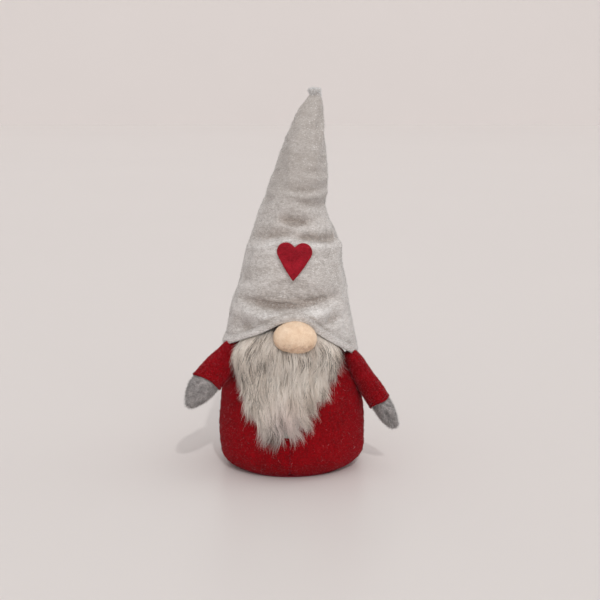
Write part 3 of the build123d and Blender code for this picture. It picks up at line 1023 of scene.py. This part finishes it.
def makeHeart():
    low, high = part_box("heart")
    cx, cz = (low[0] + high[0]) / 2, (low[2] + high[2]) / 2
    lobe = heart["lobe"] * heart["wide"] * mm
    lobeX = heart["wide"] * mm / 2 - lobe
    lobeZ = heart["tall"] * mm / 2 - lobe
    tip = -heart["tall"] * mm / 2
    reach = math.hypot(lobeX, lobeZ - tip)
    touch = math.atan2(tip - lobeZ, -lobeX) + math.acos(lobe / reach)
    outline = []   # the right half: round the lobe, then down its side to the point
    inner = math.acos(-lobeX / lobe)
    for i in range(heart["lobePoints"] + 1):
        turn = inner + (touch - inner) * i / heart["lobePoints"]
        outline.append((lobeX + lobe * math.cos(turn), lobeZ + lobe * math.sin(turn)))
    side = outline[-1]
    for i in range(1, heart["sidePoints"]):
        t = i / heart["sidePoints"]
        belly = 0.0004 * math.sin(math.pi * t)
        outline.append((side[0] * (1 - t) + belly, side[1] + (tip - side[1]) * t))
    mirrored = [(-x, z) for x, z in reversed(outline[1:])]
    outline = outline + [(0, tip)] + mirrored
    clearAll()
    bpy.ops.mesh.primitive_circle_add(vertices=len(outline), radius=1, fill_type="NGON",
                                      rotation=(math.pi / 2, 0, 0))
    piece = bpy.context.object
    piece.name = "heart"
    settle(piece)
    points = meshArray(piece)
    roll = math.radians(heart["roll"])
    for i, (x, z) in enumerate(outline):
        points[i] = (x * math.cos(roll) - z * math.sin(roll), 0, x * math.sin(roll) + z * math.cos(roll))
    setMeshArray(piece, points)
    pick(piece)
    bpy.ops.object.mode_set(mode="EDIT")
    bpy.ops.mesh.select_all(action="SELECT")
    bpy.ops.mesh.extrude_region_move(TRANSFORM_OT_translate={"value": (0, heart["thick"] * mm, 0)})
    bpy.ops.mesh.select_all(action="SELECT")
    bpy.ops.mesh.normals_make_consistent(inside=False)
    bpy.ops.object.mode_set(mode="OBJECT")
    useModifier(piece, "REMESH", mode="VOXEL", voxel_size=heart["voxel"])
    useModifier(piece, "SMOOTH", factor=0.5, iterations=3)
    # lay it on the hat: it bends over the cloth's bumps without sinking into them
    near = heart["bend"] * mm
    points = meshArray(piece)
    for i, p in enumerate(points):
        x, z = p[0], p[2]
        starts = [Vector((cx + x + dx * near, -0.2, cz + z + dz * near))
                  for dx, dz in ((0, 0), (1, 0), (-1, 0), (0, 1), (0, -1))]
        under = [hatTree.ray_cast(start, Vector((0, 1, 0)))[0].y for start in starts]
        front = (sum(under) / 5 + min(under)) / 2
        curl = 0.0003 * math.sin(z * 260 + 1) + 0.0002 * lump((x, 0, z), 0.006, 2)
        wool = 0.00008 * lump((x, p[1], z), 0.0012, 6)
        points[i] = (cx + x, front - (heart["thick"] + heart["lift"]) * mm + p[1] + curl + wool, cz + z)
    setMeshArray(piece, points)
    useModifier(piece, "SMOOTH", factor=0.5, iterations=4)
    smooth(piece)
    dress(piece, "heart_felt")
    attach(piece, "figure")
    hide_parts("heart")
    fuzzOver(piece, "heartFuzz", "heart_felt", "figure", {
        "count": 1800, "length": 0.0009, "thick": 0.00009, "lay": (0.3, 0, 0.3), "stray": 1.0, "lift": 0.5,
        "dark": (132, 14, 28), "light": (206, 60, 76)}, 31)


makeHeart()

# the nose: a ball of fleece gathered at its back
nose = {"segments": 48, "voxel": 0.0012, "pressure": 0.8, "cap": 0.0004,
        "trim": (1.0, 0.92, 0.985), "rise": 0.0029}


def makeNose():
    low, high = (Vector(c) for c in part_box("nose_cover"))
    centre, half = (low + high) / 2 + Vector((0, 0, nose["rise"])), (high - low) / 2 * Vector(nose["trim"])
    clearAll()
    bpy.ops.mesh.primitive_uv_sphere_add(segments=nose["segments"], ring_count=nose["segments"] // 2,
                                         radius=1, location=centre)
    piece = bpy.context.object
    piece.name = "noseCover"
    bpy.ops.object.mode_set(mode="EDIT")
    bpy.ops.mesh.select_all(action="SELECT")
    bpy.ops.transform.resize(value=tuple(half), center_override=centre)
    bpy.ops.object.mode_set(mode="OBJECT")
    settle(piece)
    points = meshArray(piece)
    for i, p in enumerate(points):
        x, z = (p[0] - centre.x) / half.x, (p[2] - centre.z) / half.z
        p[2] -= between(x, -0.2, 1.0) * 0.0012 * (1 - z) / 2   # hangs heavier at the lower right
        p[0] += x * 0.0004 * (1 - z)
        p[1] += 0.0012 * z * z
    setMeshArray(piece, points)
    plump(piece, nose["voxel"], nose["pressure"], nose["cap"], frames=12)
    points = meshArray(piece)
    for i, (p, n) in enumerate(zip(points, normalArray(piece))):
        points[i] = p + n * (lump(p, 0.006, 9) * 0.0003 + lump(p, 0.0014, 2) * 0.00007)
    setMeshArray(piece, points)
    dress(piece, "nose_fleece")
    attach(piece, "figure")
    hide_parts("nose_cover", "nose_stuffing")
    fuzzOver(piece, "noseFuzz", "nose_fleece", "figure", {
        "count": 5000, "length": 0.0011, "thick": 0.00009, "lay": (0.2, 0, -0.6), "stray": 1.0, "lift": 0.6,
        "dark": (226, 182, 140), "light": (255, 236, 206)}, 41)
    fuzzOver(piece, "noseStrays", "nose_fleece", "figure", {   # darker hairs caught low on the front
        "count": 150, "length": 0.0030, "thick": 0.00008, "lay": (0.6, 0, -0.3), "stray": 1.2, "lift": 0.25,
        "dark": (96, 62, 48), "light": (176, 124, 98),
        "where": lambda at, facing: np.exp(-((at[:, 2] - 0.0885) / 0.003) ** 2) * (facing[:, 1] < -0.1)}, 42)


makeNose()
print("heart and nose made")

# the beard: long fur on a knitted backing, all sizes in mm
beard = {
    # height, left edge, right edge
    "edges": [(102, -13, 14), (96, -22, 21), (90, -29, 27), (84, -33.4, 30.4), (77, -34.4, 30.8),
              (69, -34.0, 27.6), (61, -32.6, 23.8), (55, -30.4, 20.0), (50, -28.2, 17.0),
              (44, -26.2, 13.6), (38, -24.2, 12.4), (32, -22.0, 8.8), (26, -19.4, 5.2),
              (20, -16.4, 2.0), (12, -12, -3)],
    "steps": 7, "hairsPerLock": 20,
    "lockSpread": 2.3, "tipSpread": 0.45,
    # how the locks close up: over this height in mm, how sharply, how far, how tightly; top of the roots
    "closeOver": 34, "closePower": 1.15, "closeMost": 0.95, "closeTight": 0.78, "rootTop": 99,
    "hatGap": 0.0028,
    "fullness": 8.6, "curl": 1.1, "sway": 3.4, "swaySize": 11, "clump": 0.42,
    "light": (255, 248, 240), "warm": (240, 227, 215), "grey": (128, 113, 102), "dark": (34, 27, 23),
    "blush": (1.0, 0.92, 0.955),
}
# name, locks, root heights, hair length, how deep in the fur, thickness
furLayers = [
    ("beardUnder", 240, (38, 96), (18, 28), (0.0, 0.4), 0.17),
    ("beardLower", 240, (38, 96), (20, 30), (0.2, 0.6), 0.14),
    ("beardMiddle", 240, (38, 97), (20, 32), (0.4, 0.8), 0.12),
    ("beardUpper", 240, (42, 98), (22, 34), (0.6, 0.95), 0.105),
    ("beardOuter", 240, (44, 99), (22, 36), (0.75, 1.05), 0.095),
]
# the points the fur ends in: where across the beard, then sideways and height of the point
beardTips = [(0.04, -28.0, 55), (0.13, -23.0, 39), (0.25, -15.5, 25), (0.36, -8.0, 21.5),
             (0.46, -3.5, 40), (0.55, 3.8, 26), (0.65, 10.2, 34), (0.74, 15.5, 43),
             (0.84, 19.0, 52), (0.95, 27.0, 64)]
beardLeft = smoothTable([(z, left) for z, left, _ in reversed(beard["edges"])], 90)
beardRight = smoothTable([(z, right) for z, _, right in reversed(beard["edges"])], 90)
# where the darker guard hairs gather: sideways, height, spread, strength
darkPatches = [(-25, 84, 5, 0.7), (23, 82, 6, 0.9), (29, 72, 5, 0.9), (-19, 74, 5, 0.6),
               (-22, 54, 6, 0.6), (-3, 70, 4, 0.6), (27, 62, 4, 0.8), (-8, 33, 7, 0.9),
               (8, 42, 5, 0.3), (-30, 66, 4, 0.5), (12, 80, 5, 0.5), (-10, 80, 5, 0.4),
               (-14, 62, 4, 0.5)]
# share of dark guard hairs, then of the hairs that darken in a patch or a streak, then how much each
# cause darkens: streak, lock, single hair, painted shade between tufts, painted shade at roots, cloud, tip
beardTone = {"guards": 0.05, "patchShare": 0.36, "streakShare": 0.34, "streak": 0.75, "lock": 0.4,
             "hair": 0.06, "paintedValleyShade": 0.28, "root": 0.12, "cloud": 0.12, "tip": 0.3}
beardDepth = [(0, 0), (30, 0), (46, 22), (60, 33.5), (76, 35.5), (88, 34.0), (100, 31)]


def beardBase(x, z):   # how far forward the beard's root surface is, metres
    share = min(abs(x) / 0.047, 0.999)
    bridge = alongTable(beardDepth, z / mm) * mm * (1 - share ** 2.4) ** (1 / 2.4)
    return max(bodyFront(x, z), bridge)


def hatInside(x, z):   # the furthest forward the fur may be at this spot under the hat, metres
    z = min(max(z, 0.074), 0.115)
    middle, half = (hatEdge(z, 1) + hatEdge(z, -1)) / 2, (hatEdge(z, 1) - hatEdge(z, -1)) / 2
    share = min(abs(x - middle) / half, 0.995)
    front = half * hat["depth"] * math.sqrt(1 - share * share) - beard["hatGap"]
    brim = brimHeight(-math.acos(max(min((x - middle) / half, 1), -1)))
    return front + 0.012 * between(brim - z, -0.001, 0.010)


gridStep = 0.001
gridX = np.arange(-0.05, 0.0501, gridStep)
gridZ = np.arange(0.0, 0.112, gridStep)
baseGrid = np.array([[beardBase(x, z) for x in gridX] for z in gridZ])
roomGrid = np.array([[hatInside(x, z) for x in gridX] for z in gridZ])
swayGrid = np.array([[lump((x, 0, z * 0.7), beard["swaySize"] * mm, 4.4) for x in gridX] for z in gridZ])
clumpGrid = np.array([[lump((x, 0, z * 0.36), 0.0062, 5.5) for x in gridX] for z in gridZ])
toneGrid = np.array([[lump((x, 0, z * 0.3), 0.0032, 8.8) + 0.6 * lump((x, 0, z * 0.5), 0.0095, 2.8)
                      for x in gridX] for z in gridZ])


def readGrid(grid, x, z):   # the same surfaces, for arrays of spots
    u = np.clip((x - gridX[0]) / gridStep, 0, len(gridX) - 1.001)
    v = np.clip((z - gridZ[0]) / gridStep, 0, len(gridZ) - 1.001)
    i, j = u.astype(int), v.astype(int)
    fu, fv = u - i, v - j
    return (grid[j, i] * (1 - fu) * (1 - fv) + grid[j, i + 1] * fu * (1 - fv)
            + grid[j + 1, i] * (1 - fu) * fv + grid[j + 1, i + 1] * fu * fv)


def edgeAt(table, z):
    keys, values = zip(*table)
    return np.interp(z / mm, keys, values) * mm


def hairPaths(rng, locks, each, roots, lengths, levels):
    # every lock has a middle line; its hairs start apart and draw together towards the tip
    steps = beard["steps"]
    t = np.linspace(0, 1, steps)[None, None]
    share = rng.uniform(0.01, 0.99, locks)
    tips = np.array(beardTips)
    own = np.abs(tips[None, :, 0] - (share + rng.normal(0, 0.02, locks))[:, None]).argmin(axis=1)
    tipX, lowest = tips[own, 1] + rng.normal(0, 0.5, locks), tips[own, 2] + rng.gamma(1.3, 6.5, locks)
    rootZ = np.maximum(rng.uniform(*roots, locks), lowest + rng.uniform(12, 20, locks))
    rootZ = np.minimum(rootZ, beard["rootTop"])
    lowest = np.minimum(lowest, rootZ - 11)
    tipZ = np.maximum(rootZ - rng.uniform(*lengths, locks), lowest)

    def each3(draw):
        return draw((locks, each, 1))
    width = np.minimum(rng.gamma(4, 0.25, (locks, 1, 1)), 1.7)
    width *= np.clip(0.35 + 6 * np.minimum(share, 1 - share), 0, 1)[:, None, None]
    dx = each3(lambda size: np.clip(rng.normal(0, 1, size), -1.8, 1.8)) * width
    dz = each3(lambda size: np.clip(rng.normal(0, 2.0, size), -5, 4))
    trim = each3(lambda size: rng.uniform(0.7, 1.1, size) + 0.25 * (rng.random(size) > 0.94))
    z = (rootZ[:, None, None] + dz - (rootZ - tipZ)[:, None, None] * trim * t) * mm
    middle = edgeAt(beardLeft, z) * (1 - share[:, None, None]) + edgeAt(beardRight, z) * share[:, None, None]
    # towards the bottom the locks close up into the separate points
    over = beard["closeOver"]
    closing = np.clip((tips[own, 2][:, None, None] + over - z / mm) / over, 0, 1)
    closing = closing ** beard["closePower"] * beard["closeMost"]
    middle = middle * (1 - closing) + tipX[:, None, None] * mm * closing
    gather = 1 - (1 - beard["tipSpread"] / beard["lockSpread"]) * t ** 0.8
    turn = rng.uniform(0, 6.28, (locks, 1, 1))
    curl = (np.sin(turn + t * 3.4) - np.sin(turn)) * beard["curl"] + np.sin(turn * 3 + t * 7) * 0.3 * t
    wild = each3(lambda size: rng.normal(0, 1.0, size))
    wild = wild + each3(lambda size: np.clip(rng.standard_t(2, size), -7, 7)) * 0.3
    stray = wild * t ** 2
    outward = (share - 0.5)[:, None, None] * rng.uniform(0, 5.0, (locks, 1, 1))
    lean = (rng.normal(0, 2.0, (locks, 1, 1)) + outward) * t ** 1.5
    sway = readGrid(swayGrid, middle, z) * np.clip(t * 1.6, 0, 1)   # neighbours lean the same way
    aside = dx * beard["lockSpread"] * gather * (1 - beard["closeTight"] * closing)
    aside = aside + curl + stray + lean + sway * beard["sway"]
    x = middle + aside * mm
    rise = np.minimum(1, t * 3.0) ** 0.7 * (1 - 0.35 * np.clip((t - 0.5) / 0.5, 0, 1) ** 1.3)
    full = beard["fullness"] * np.interp(z / mm, [16, 30, 55, 80, 95], [0.30, 0.55, 1.0, 1.0, 0.75])
    side = np.clip(1 - np.abs(2 * share - 1) ** 4 * 0.5, 0, 1)[:, None, None]
    level = rng.uniform(*levels, (locks, 1, 1)) + each3(lambda size: rng.normal(0, 0.09, size))
    # the fur parts into fat tufts
    ridge = 1 + beard["clump"] * readGrid(clumpGrid, x, z) * np.clip(t * 2, 0, 1)
    depth = (1.3 + full * side * rise * np.clip(level, 0, 1.15) * ridge) * mm
    front = readGrid(baseGrid, x, z) + depth
    front = np.minimum(front, readGrid(roomGrid, x, z) - (1.1 - level) * 0.0026)
    paths = np.stack([x, -front, z], axis=-1).reshape(-1, steps, 3)
    return paths, np.broadcast_to(level, dx.shape).reshape(-1, 1)


def hairTone(rng, paths, level, each):
    light, warm, grey, dark = (np.array(rgb(*beard[k])) for k in ("light", "warm", "grey", "dark"))
    x, z = paths[..., 0] / mm, paths[..., 2] / mm
    patch = np.zeros_like(x)
    for px, pz, size, strength in darkPatches:
        reach = ((x - px) / size) ** 2 + ((z - pz) / (size * 1.8)) ** 2
        patch = np.maximum(patch, strength * np.exp(-reach))
    lock = np.repeat(rng.random(len(paths) // each), each)[:, None]
    own = rng.random((len(paths), 1))
    t = np.linspace(0, 1, paths.shape[1])[None]
    band = np.exp(-((t - rng.uniform(0.35, 0.8, (len(paths), 1))) / 0.22) ** 2)
    sideways = np.clip(0.75 - x / 60, 0.4, 1.3)   # more dark hairs down the left side
    cloud = np.clip(readGrid(toneGrid, paths[..., 0], paths[..., 2]), 0, 1)
    streak = np.clip(cloud * 2.4 - 0.75, 0, 1)   # dark hairs lie together in streaks
    guard = ((own > 1 - beardTone["guards"] * sideways) * band * 1.2
             + (own < beardTone["patchShare"]) * patch * band * 1.25
             + (own < beardTone["streakShare"]) * streak * beardTone["streak"])
    # painted shade in the dips between the tufts
    paintedValleyShade = np.clip(-readGrid(clumpGrid, paths[..., 0], paths[..., 2]), 0, 1)
    # painted shade also at the roots, more for the deeper hairs
    shade = (beardTone["lock"] * lock ** 3 + beardTone["hair"] * rng.random((len(paths), 1))
             + paintedValleyShade * beardTone["paintedValleyShade"] + beardTone["root"] * (1 - t) ** 2 * (1 - level) + guard)
    shade = (shade + cloud * beardTone["cloud"] * (own > 0.35)
             + beardTone["tip"] * np.clip(t - 0.7, 0, 1) * (own > 0.5))
    shade = np.clip(shade, 0, 1)[..., None]
    tone = np.where(shade < 0.3, light + (warm - light) * shade / 0.3,
                    np.where(shade < 0.6, warm + (grey - warm) * (shade - 0.3) / 0.3,
                             grey + (dark - grey) * (shade - 0.6) / 0.4))
    pink = (np.exp(-((x + 2) / 12) ** 2 - ((z - 36) / 15) ** 2) * 0.9)[..., None]
    blush = np.array((*beard["blush"], 1.0))
    # painted shade: darker low down, where the fur is thinner
    low = np.clip((46 - z) / 26, 0, 1)[..., None] * np.array([0.27, 0.28, 0.27, 0.0])
    return tone * (1 - pink + pink * blush) * (1 - low)


def growHairs(name, paths, tone, thick):
    # one slim tapered hair, drawn ring by ring, repeated along every path
    steps = beard["steps"]
    taper = [(1 - (i / (steps - 1)) ** 1.7) * 0.88 + 0.12 for i in range(steps)]
    hair = raiseRings("hair", [(0, 0, i / (steps - 1), w, w) for i, w in enumerate(taper)], 3)
    hairPoints = meshArray(hair)
    faces = [tuple(p.vertices) for p in hair.data.polygons]
    bpy.data.objects.remove(hair)
    level = np.rint(hairPoints[:, 2] * (steps - 1)).astype(int)
    along = np.gradient(paths, axis=1)
    along /= np.linalg.norm(along, axis=2, keepdims=True) + 1e-12
    side = np.cross(along, np.array([0.0, -1.0, 0.15]))
    side /= np.linalg.norm(side, axis=2, keepdims=True) + 1e-12
    third = np.cross(along, side)
    widths = thick[:, None, None] * mm
    spots = (paths[:, level] + side[:, level] * hairPoints[None, :, 0:1] * widths
             + third[:, level] * hairPoints[None, :, 1:2] * widths)
    colours = tone[:, level].reshape(-1, 4)
    return strandMesh(name, spots.reshape(-1, 3), faces, len(hairPoints), colours, "beard_fur", None,
                      finishes["beard_fur"])


def makeBeard():
    rng = np.random.default_rng(7)
    each = beard["hairsPerLock"]
    for number, (name, locks, roots, lengths, levels, thick) in enumerate(furLayers):
        paths, level = hairPaths(rng, locks, each, roots, lengths, levels)
        tone = hairTone(rng, paths, level, each)
        piece = growHairs(name, paths, tone, thick * rng.uniform(0.6, 1.25, len(paths)))
        if number == 0:
            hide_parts("beard_upper_fur", "beard_flap_fur")
        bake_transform(piece)


makeBeard()


def makeBacking():   # the knitted backing of the fur, sewn down under the brim
    clearAll()
    bpy.ops.mesh.primitive_grid_add(x_subdivisions=36, y_subdivisions=40, size=1)
    piece = bpy.context.object
    piece.name = "beardBacking"
    points = meshArray(piece)
    for i, p in enumerate(points):
        z = (30 + (p[1] + 0.5) * 66) * mm
        left, right = edgeAt(beardLeft, z) + 0.006, edgeAt(beardRight, z) - 0.006
        x = left + (right - left) * (p[0] + 0.5)
        points[i] = (x, -min(beardBase(x, z) + 0.0006, hatInside(x, z) - 0.0016), z)
    setMeshArray(piece, points)
    pick(piece)
    bpy.ops.object.mode_set(mode="EDIT")
    bpy.ops.mesh.select_all(action="SELECT")
    bpy.ops.mesh.normals_make_consistent(inside=False)
    bpy.ops.object.mode_set(mode="OBJECT")
    useModifier(piece, "SOLIDIFY", thickness=0.0009, offset=0.0)
    smooth(piece)
    dress(piece, "fur_backing")
    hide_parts("beard_upper_backing", "beard_flap_backing")
    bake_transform(piece)


makeBacking()
print("beard made")

# the arms: sleeve, turned cuff and mitten, drawn along the arm from the shoulder
arm = {
    "left": {"side": -1, "outward": 46, "forward": 28, "twist": 0, "cuffAt": 26,
             "mittenWide": 0.92, "mittenDeep": 0.92, "droop": 0.0022, "slant": 0.24, "crease": 0.0},
    "right": {"side": 1, "outward": 33, "forward": 10, "twist": 66, "cuffAt": 33,
              "mittenWide": 0.85, "mittenDeep": 0.84, "droop": 0.0, "slant": 0.0, "crease": 0.0036},
    # distance from the cuff, half width, half depth
    "sleeve": [(-39, 5.6, 4.6), (-35, 7.2, 5.6), (-30, 8.2, 6.2), (-24, 8.9, 6.6), (-16, 9.4, 6.9),
               (-8, 9.8, 7.1), (0.4, 9.8, 7.0)],
    "mitten": [(-2.2, 7.6, 5.2), (0.8, 9.0, 6.2), (5, 9.2, 6.5), (10, 8.3, 6.0), (14.5, 6.3, 4.8),
               (18, 4.0, 3.3), (20.5, 1.9, 1.6)],
    "cuff": {"wide": 9.5, "deep": 6.75, "thick": 0.62},
    "voxel": 0.0013, "pressure": 1.0, "cap": 0.0006,
}


def armPlace(name):
    look = arm[name]
    outward, forward = math.radians(look["outward"]), math.radians(look["forward"])
    along = Vector((look["side"] * math.sin(outward) * math.cos(forward), -math.sin(forward),
                    -math.cos(outward) * math.cos(forward)))
    across = Vector((math.cos(outward) * look["side"], 0, math.sin(outward)))
    across = (across - along * along.dot(across)).normalized()
    turn = Matrix((across, along.cross(across), along)).transposed().to_4x4()
    twist = Matrix.Rotation(math.radians(look["twist"]), 4, "Z")
    return Matrix.Translation(jointPlace[name + "_arm_raise"]) @ turn @ twist


def hangDown(points, look):   # the arm bends down with its own weight, more towards the hand
    past = np.maximum(points[:, 2] / mm - 8, 0)
    points[:, 2] += look["slant"] * points[:, 0] * np.clip(past / 14, 0, 1)
    points[:, 0] -= look["droop"] * past ** 2 * mm
    return points


def limb(name, outline, look, scale, place, slot, body, nodes, seed):
    at, wideBy, deepBy = scale
    rings = [(0, 0, (at + s) * mm, wide * wideBy * mm, deep * deepBy * mm) for s, wide, deep in outline]
    piece = raiseRings(name, rings, 40)
    plump(piece, arm["voxel"], arm["pressure"], arm["cap"], frames=12)
    points = meshArray(piece)
    front = place.to_3x3().inverted() @ Vector((0, -1, 0))
    front = Vector((front.x, front.y, 0)).normalized()
    across = Vector((-front.y, front.x, 0))
    for i, (p, n) in enumerate(zip(points, normalArray(piece))):
        swell = lump(p, 0.009, seed) * 0.0007 + lump(p, 0.0035, seed + 1) * 0.0002
        seam = bell(p[1], 0.0008) * (p[0] > 0) * 0.0006   # the closing seam down one edge
        fold = 0.0
        if slot == "mitten_fleece" and look["crease"]:   # a crease along the front of the hand
            off = (p[0] * across.x + p[1] * across.y) / 0.0014
            onFront = between(p[0] * front.x + p[1] * front.y, 0, 0.002)
            fold = look["crease"] * bell(off, 1) * onFront * between(p[2] / mm - at, 5, 9)
        points[i] = p + n * (swell - seam - fold)
    setMeshArray(piece, hangDown(points, look))
    piece.matrix_world = place
    settle(piece)
    dress(piece, slot)
    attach(piece, body)
    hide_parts(*nodes)
    return piece


def makeArm(name, seed):
    place = armPlace(name)
    body = name + "_arm"
    look = arm[name]
    at = look["cuffAt"]
    sleeve = limb(name + "Sleeve", arm["sleeve"], look, (at, 1, 1), place, "red_felt", body,
                  [name + "_sleeve", name + "_arm_stuffing"], seed)
    mitten = limb(name + "Mitten", arm["mitten"], look, (at, look["mittenWide"], look["mittenDeep"]), place,
                  "mitten_fleece", body, [name + "_mitten", name + "_mitten_stuffing"], seed + 2)
    # the turned lip of the sleeve: a soft ring that bulges a little
    cuff = arm["cuff"]
    clearAll()
    bpy.ops.mesh.primitive_torus_add(major_segments=64, minor_segments=12, major_radius=1, minor_radius=0.1,
                                     location=(0, 0, 0))
    lip = bpy.context.object
    lip.name = name + "Cuff"
    points = meshArray(lip)
    for i, p in enumerate(points):
        angle = math.atan2(p[1], p[0])
        out = math.hypot(p[0], p[1]) - 1
        thick = cuff["thick"] * mm * 10
        wavy = 1 + 0.02 * math.sin(angle * 5 + seed) + 0.012 * math.sin(angle * 11)
        x = (cuff["wide"] * mm * wavy + out * thick) * math.cos(angle)
        y = (cuff["deep"] * mm * wavy + out * thick) * math.sin(angle)
        points[i] = (x, y, at * mm + p[2] * thick * 1.5 + 0.0004 * math.sin(angle * 3 + seed))
    setMeshArray(lip, hangDown(points, look))
    lip.matrix_world = place
    settle(lip)
    smooth(lip)
    dress(lip, "red_felt")
    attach(lip, body)
    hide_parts(name + "_cuff")
    # wrist stitches between mitten and sleeve
    wristTree = surfaceOf(mitten)
    rows = []
    for i in range(18):
        turn = 2 * math.pi * i / 18
        out = place.to_3x3() @ Vector((math.cos(turn), math.sin(turn), 0))
        start = place @ Vector((0.03 * math.cos(turn), 0.03 * math.sin(turn), (at + 1.5) * mm))
        rows.append((start, -out, place.to_3x3() @ Vector((0, 0, 1))))
    stitchLine(name + "WristStitches", wristTree, rows, "grey_thread", body, (name + "_wrist_stitching",),
               thick=0.00022, length=0.0018)
    down = tuple(place.to_3x3() @ Vector((0, 0, 1)))
    fuzzOver(sleeve, name + "SleeveFuzz", "red_felt", body, {
        "count": 5600, "length": 0.0015, "thick": 0.00014, "lay": down, "stray": 1.1, "lift": 0.6,
        "dark": (138, 8, 18), "light": (248, 64, 92), "spread": (1.0, 1.9)}, seed + 50)
    fuzzOver(lip, name + "CuffFuzz", "red_felt", body, {
        "count": 900, "length": 0.0013, "thick": 0.00014, "lay": down, "stray": 1.0, "lift": 0.6,
        "dark": (84, 2, 8), "light": (226, 42, 66), "spread": (0.9, 2.0)}, seed + 60)
    fuzzOver(mitten, name + "MittenFuzz", "mitten_fleece", body, {
        "count": 6500, "length": 0.0028, "thick": 0.00022, "lay": down, "stray": 1.0, "lift": 0.85,
        "dark": (120, 113, 112), "light": (252, 247, 246), "spread": (1.0, 1.1)}, seed + 70)


makeArm("left", 3)
makeArm("right", 8)
print("arms made")

# the pieces kept from the frame get their finishes
for node in frame["nodes"]:
    slotName = next(s["material_slot"] for s in frame["record"]["subparts"] if s["node"] == node)
    kept = frame["nodes"][node]
    kept.data.materials.clear()
    kept.data.materials.append(finishes[slotName])

# floor, wall, light and camera
studio = {
    "floor": (224, 219, 217), "wall": (223, 217, 215), "wallAt": 5.2, "paper": 16,
    "elevation": 11.0, "distance": 0.77, "lens": 70, "look": (6.4, 0, 110.5),
    "room": 0.54,
}
# name, where the light comes from, strength, how wide it is (degrees), colour
lamps = [
    ("frontKey", (0.16, -0.74, 0.68), 0.72, 1.6, (1.0, 0.985, 0.97)),
    ("softFront", (0.1, -1.0, 0.5), 0.66, 70, (1.0, 0.99, 0.98)),
    ("softTop", (0.25, -0.1, 1.0), 0.42, 50, (1.0, 0.99, 0.98)),
    ("softRight", (0.9, 0.15, 0.35), 0.14, 40, (1.0, 0.99, 0.98)),
]


def paperFinish(name, colour, roughness):
    f = Finish(name)
    faint = f.noise(0.6, 2, 0.5)
    tint = f.mix(faint, rgb(*[c - 3 for c in colour]), rgb(*colour))
    return f.close(tint, roughness, None, **{"Specular IOR Level": 0.25})


def makeStage():
    clearAll()
    bpy.ops.mesh.primitive_plane_add(size=studio["paper"], location=(0, 0, -0.0002))
    floor = bpy.context.object
    floor.name = "floor"
    floor.data.materials.append(paperFinish("floorPaper", studio["floor"], 0.35))
    settle(floor)
    clearAll()
    bpy.ops.mesh.primitive_plane_add(size=studio["paper"], location=(0, studio["wallAt"], 0),
                                     rotation=(math.pi / 2, 0, 0))
    wall = bpy.context.object
    wall.name = "wall"
    wall.data.materials.append(paperFinish("wallPaper", studio["wall"], 0.9))
    settle(wall)


makeStage()
world = bpy.data.worlds.new("room")
bpy.context.scene.world = world
world.use_nodes = True
world.node_tree.nodes["Background"].inputs["Color"].default_value = (1.0, 0.985, 0.975, 1)
world.node_tree.nodes["Background"].inputs["Strength"].default_value = studio["room"]
for lampName, fromWhere, strength, spread, tint in lamps:
    lamp = bpy.data.lights.new(lampName, "SUN")
    lamp.energy = strength
    lamp.color = tint
    lamp.angle = math.radians(spread)
    stand = bpy.data.objects.new(lampName, lamp)
    bpy.context.collection.objects.link(stand)
    stand.rotation_euler = (-Vector(fromWhere)).to_track_quat("-Z", "Y").to_euler()

cameraData = bpy.data.cameras.new("camera")
cameraData.lens = studio["lens"]
cameraData.sensor_width = 36
camera = bpy.data.objects.new("camera", cameraData)
bpy.context.collection.objects.link(camera)
tilt = math.radians(studio["elevation"])
aim = Vector(studio["look"]) * mm
camera.location = aim + Vector((0, -math.cos(tilt), math.sin(tilt))) * studio["distance"]
camera.rotation_euler = (aim - camera.location).to_track_quat("-Z", "Y").to_euler()
bpy.context.scene.camera = camera
bpy.context.scene.view_settings.view_transform = "Standard"
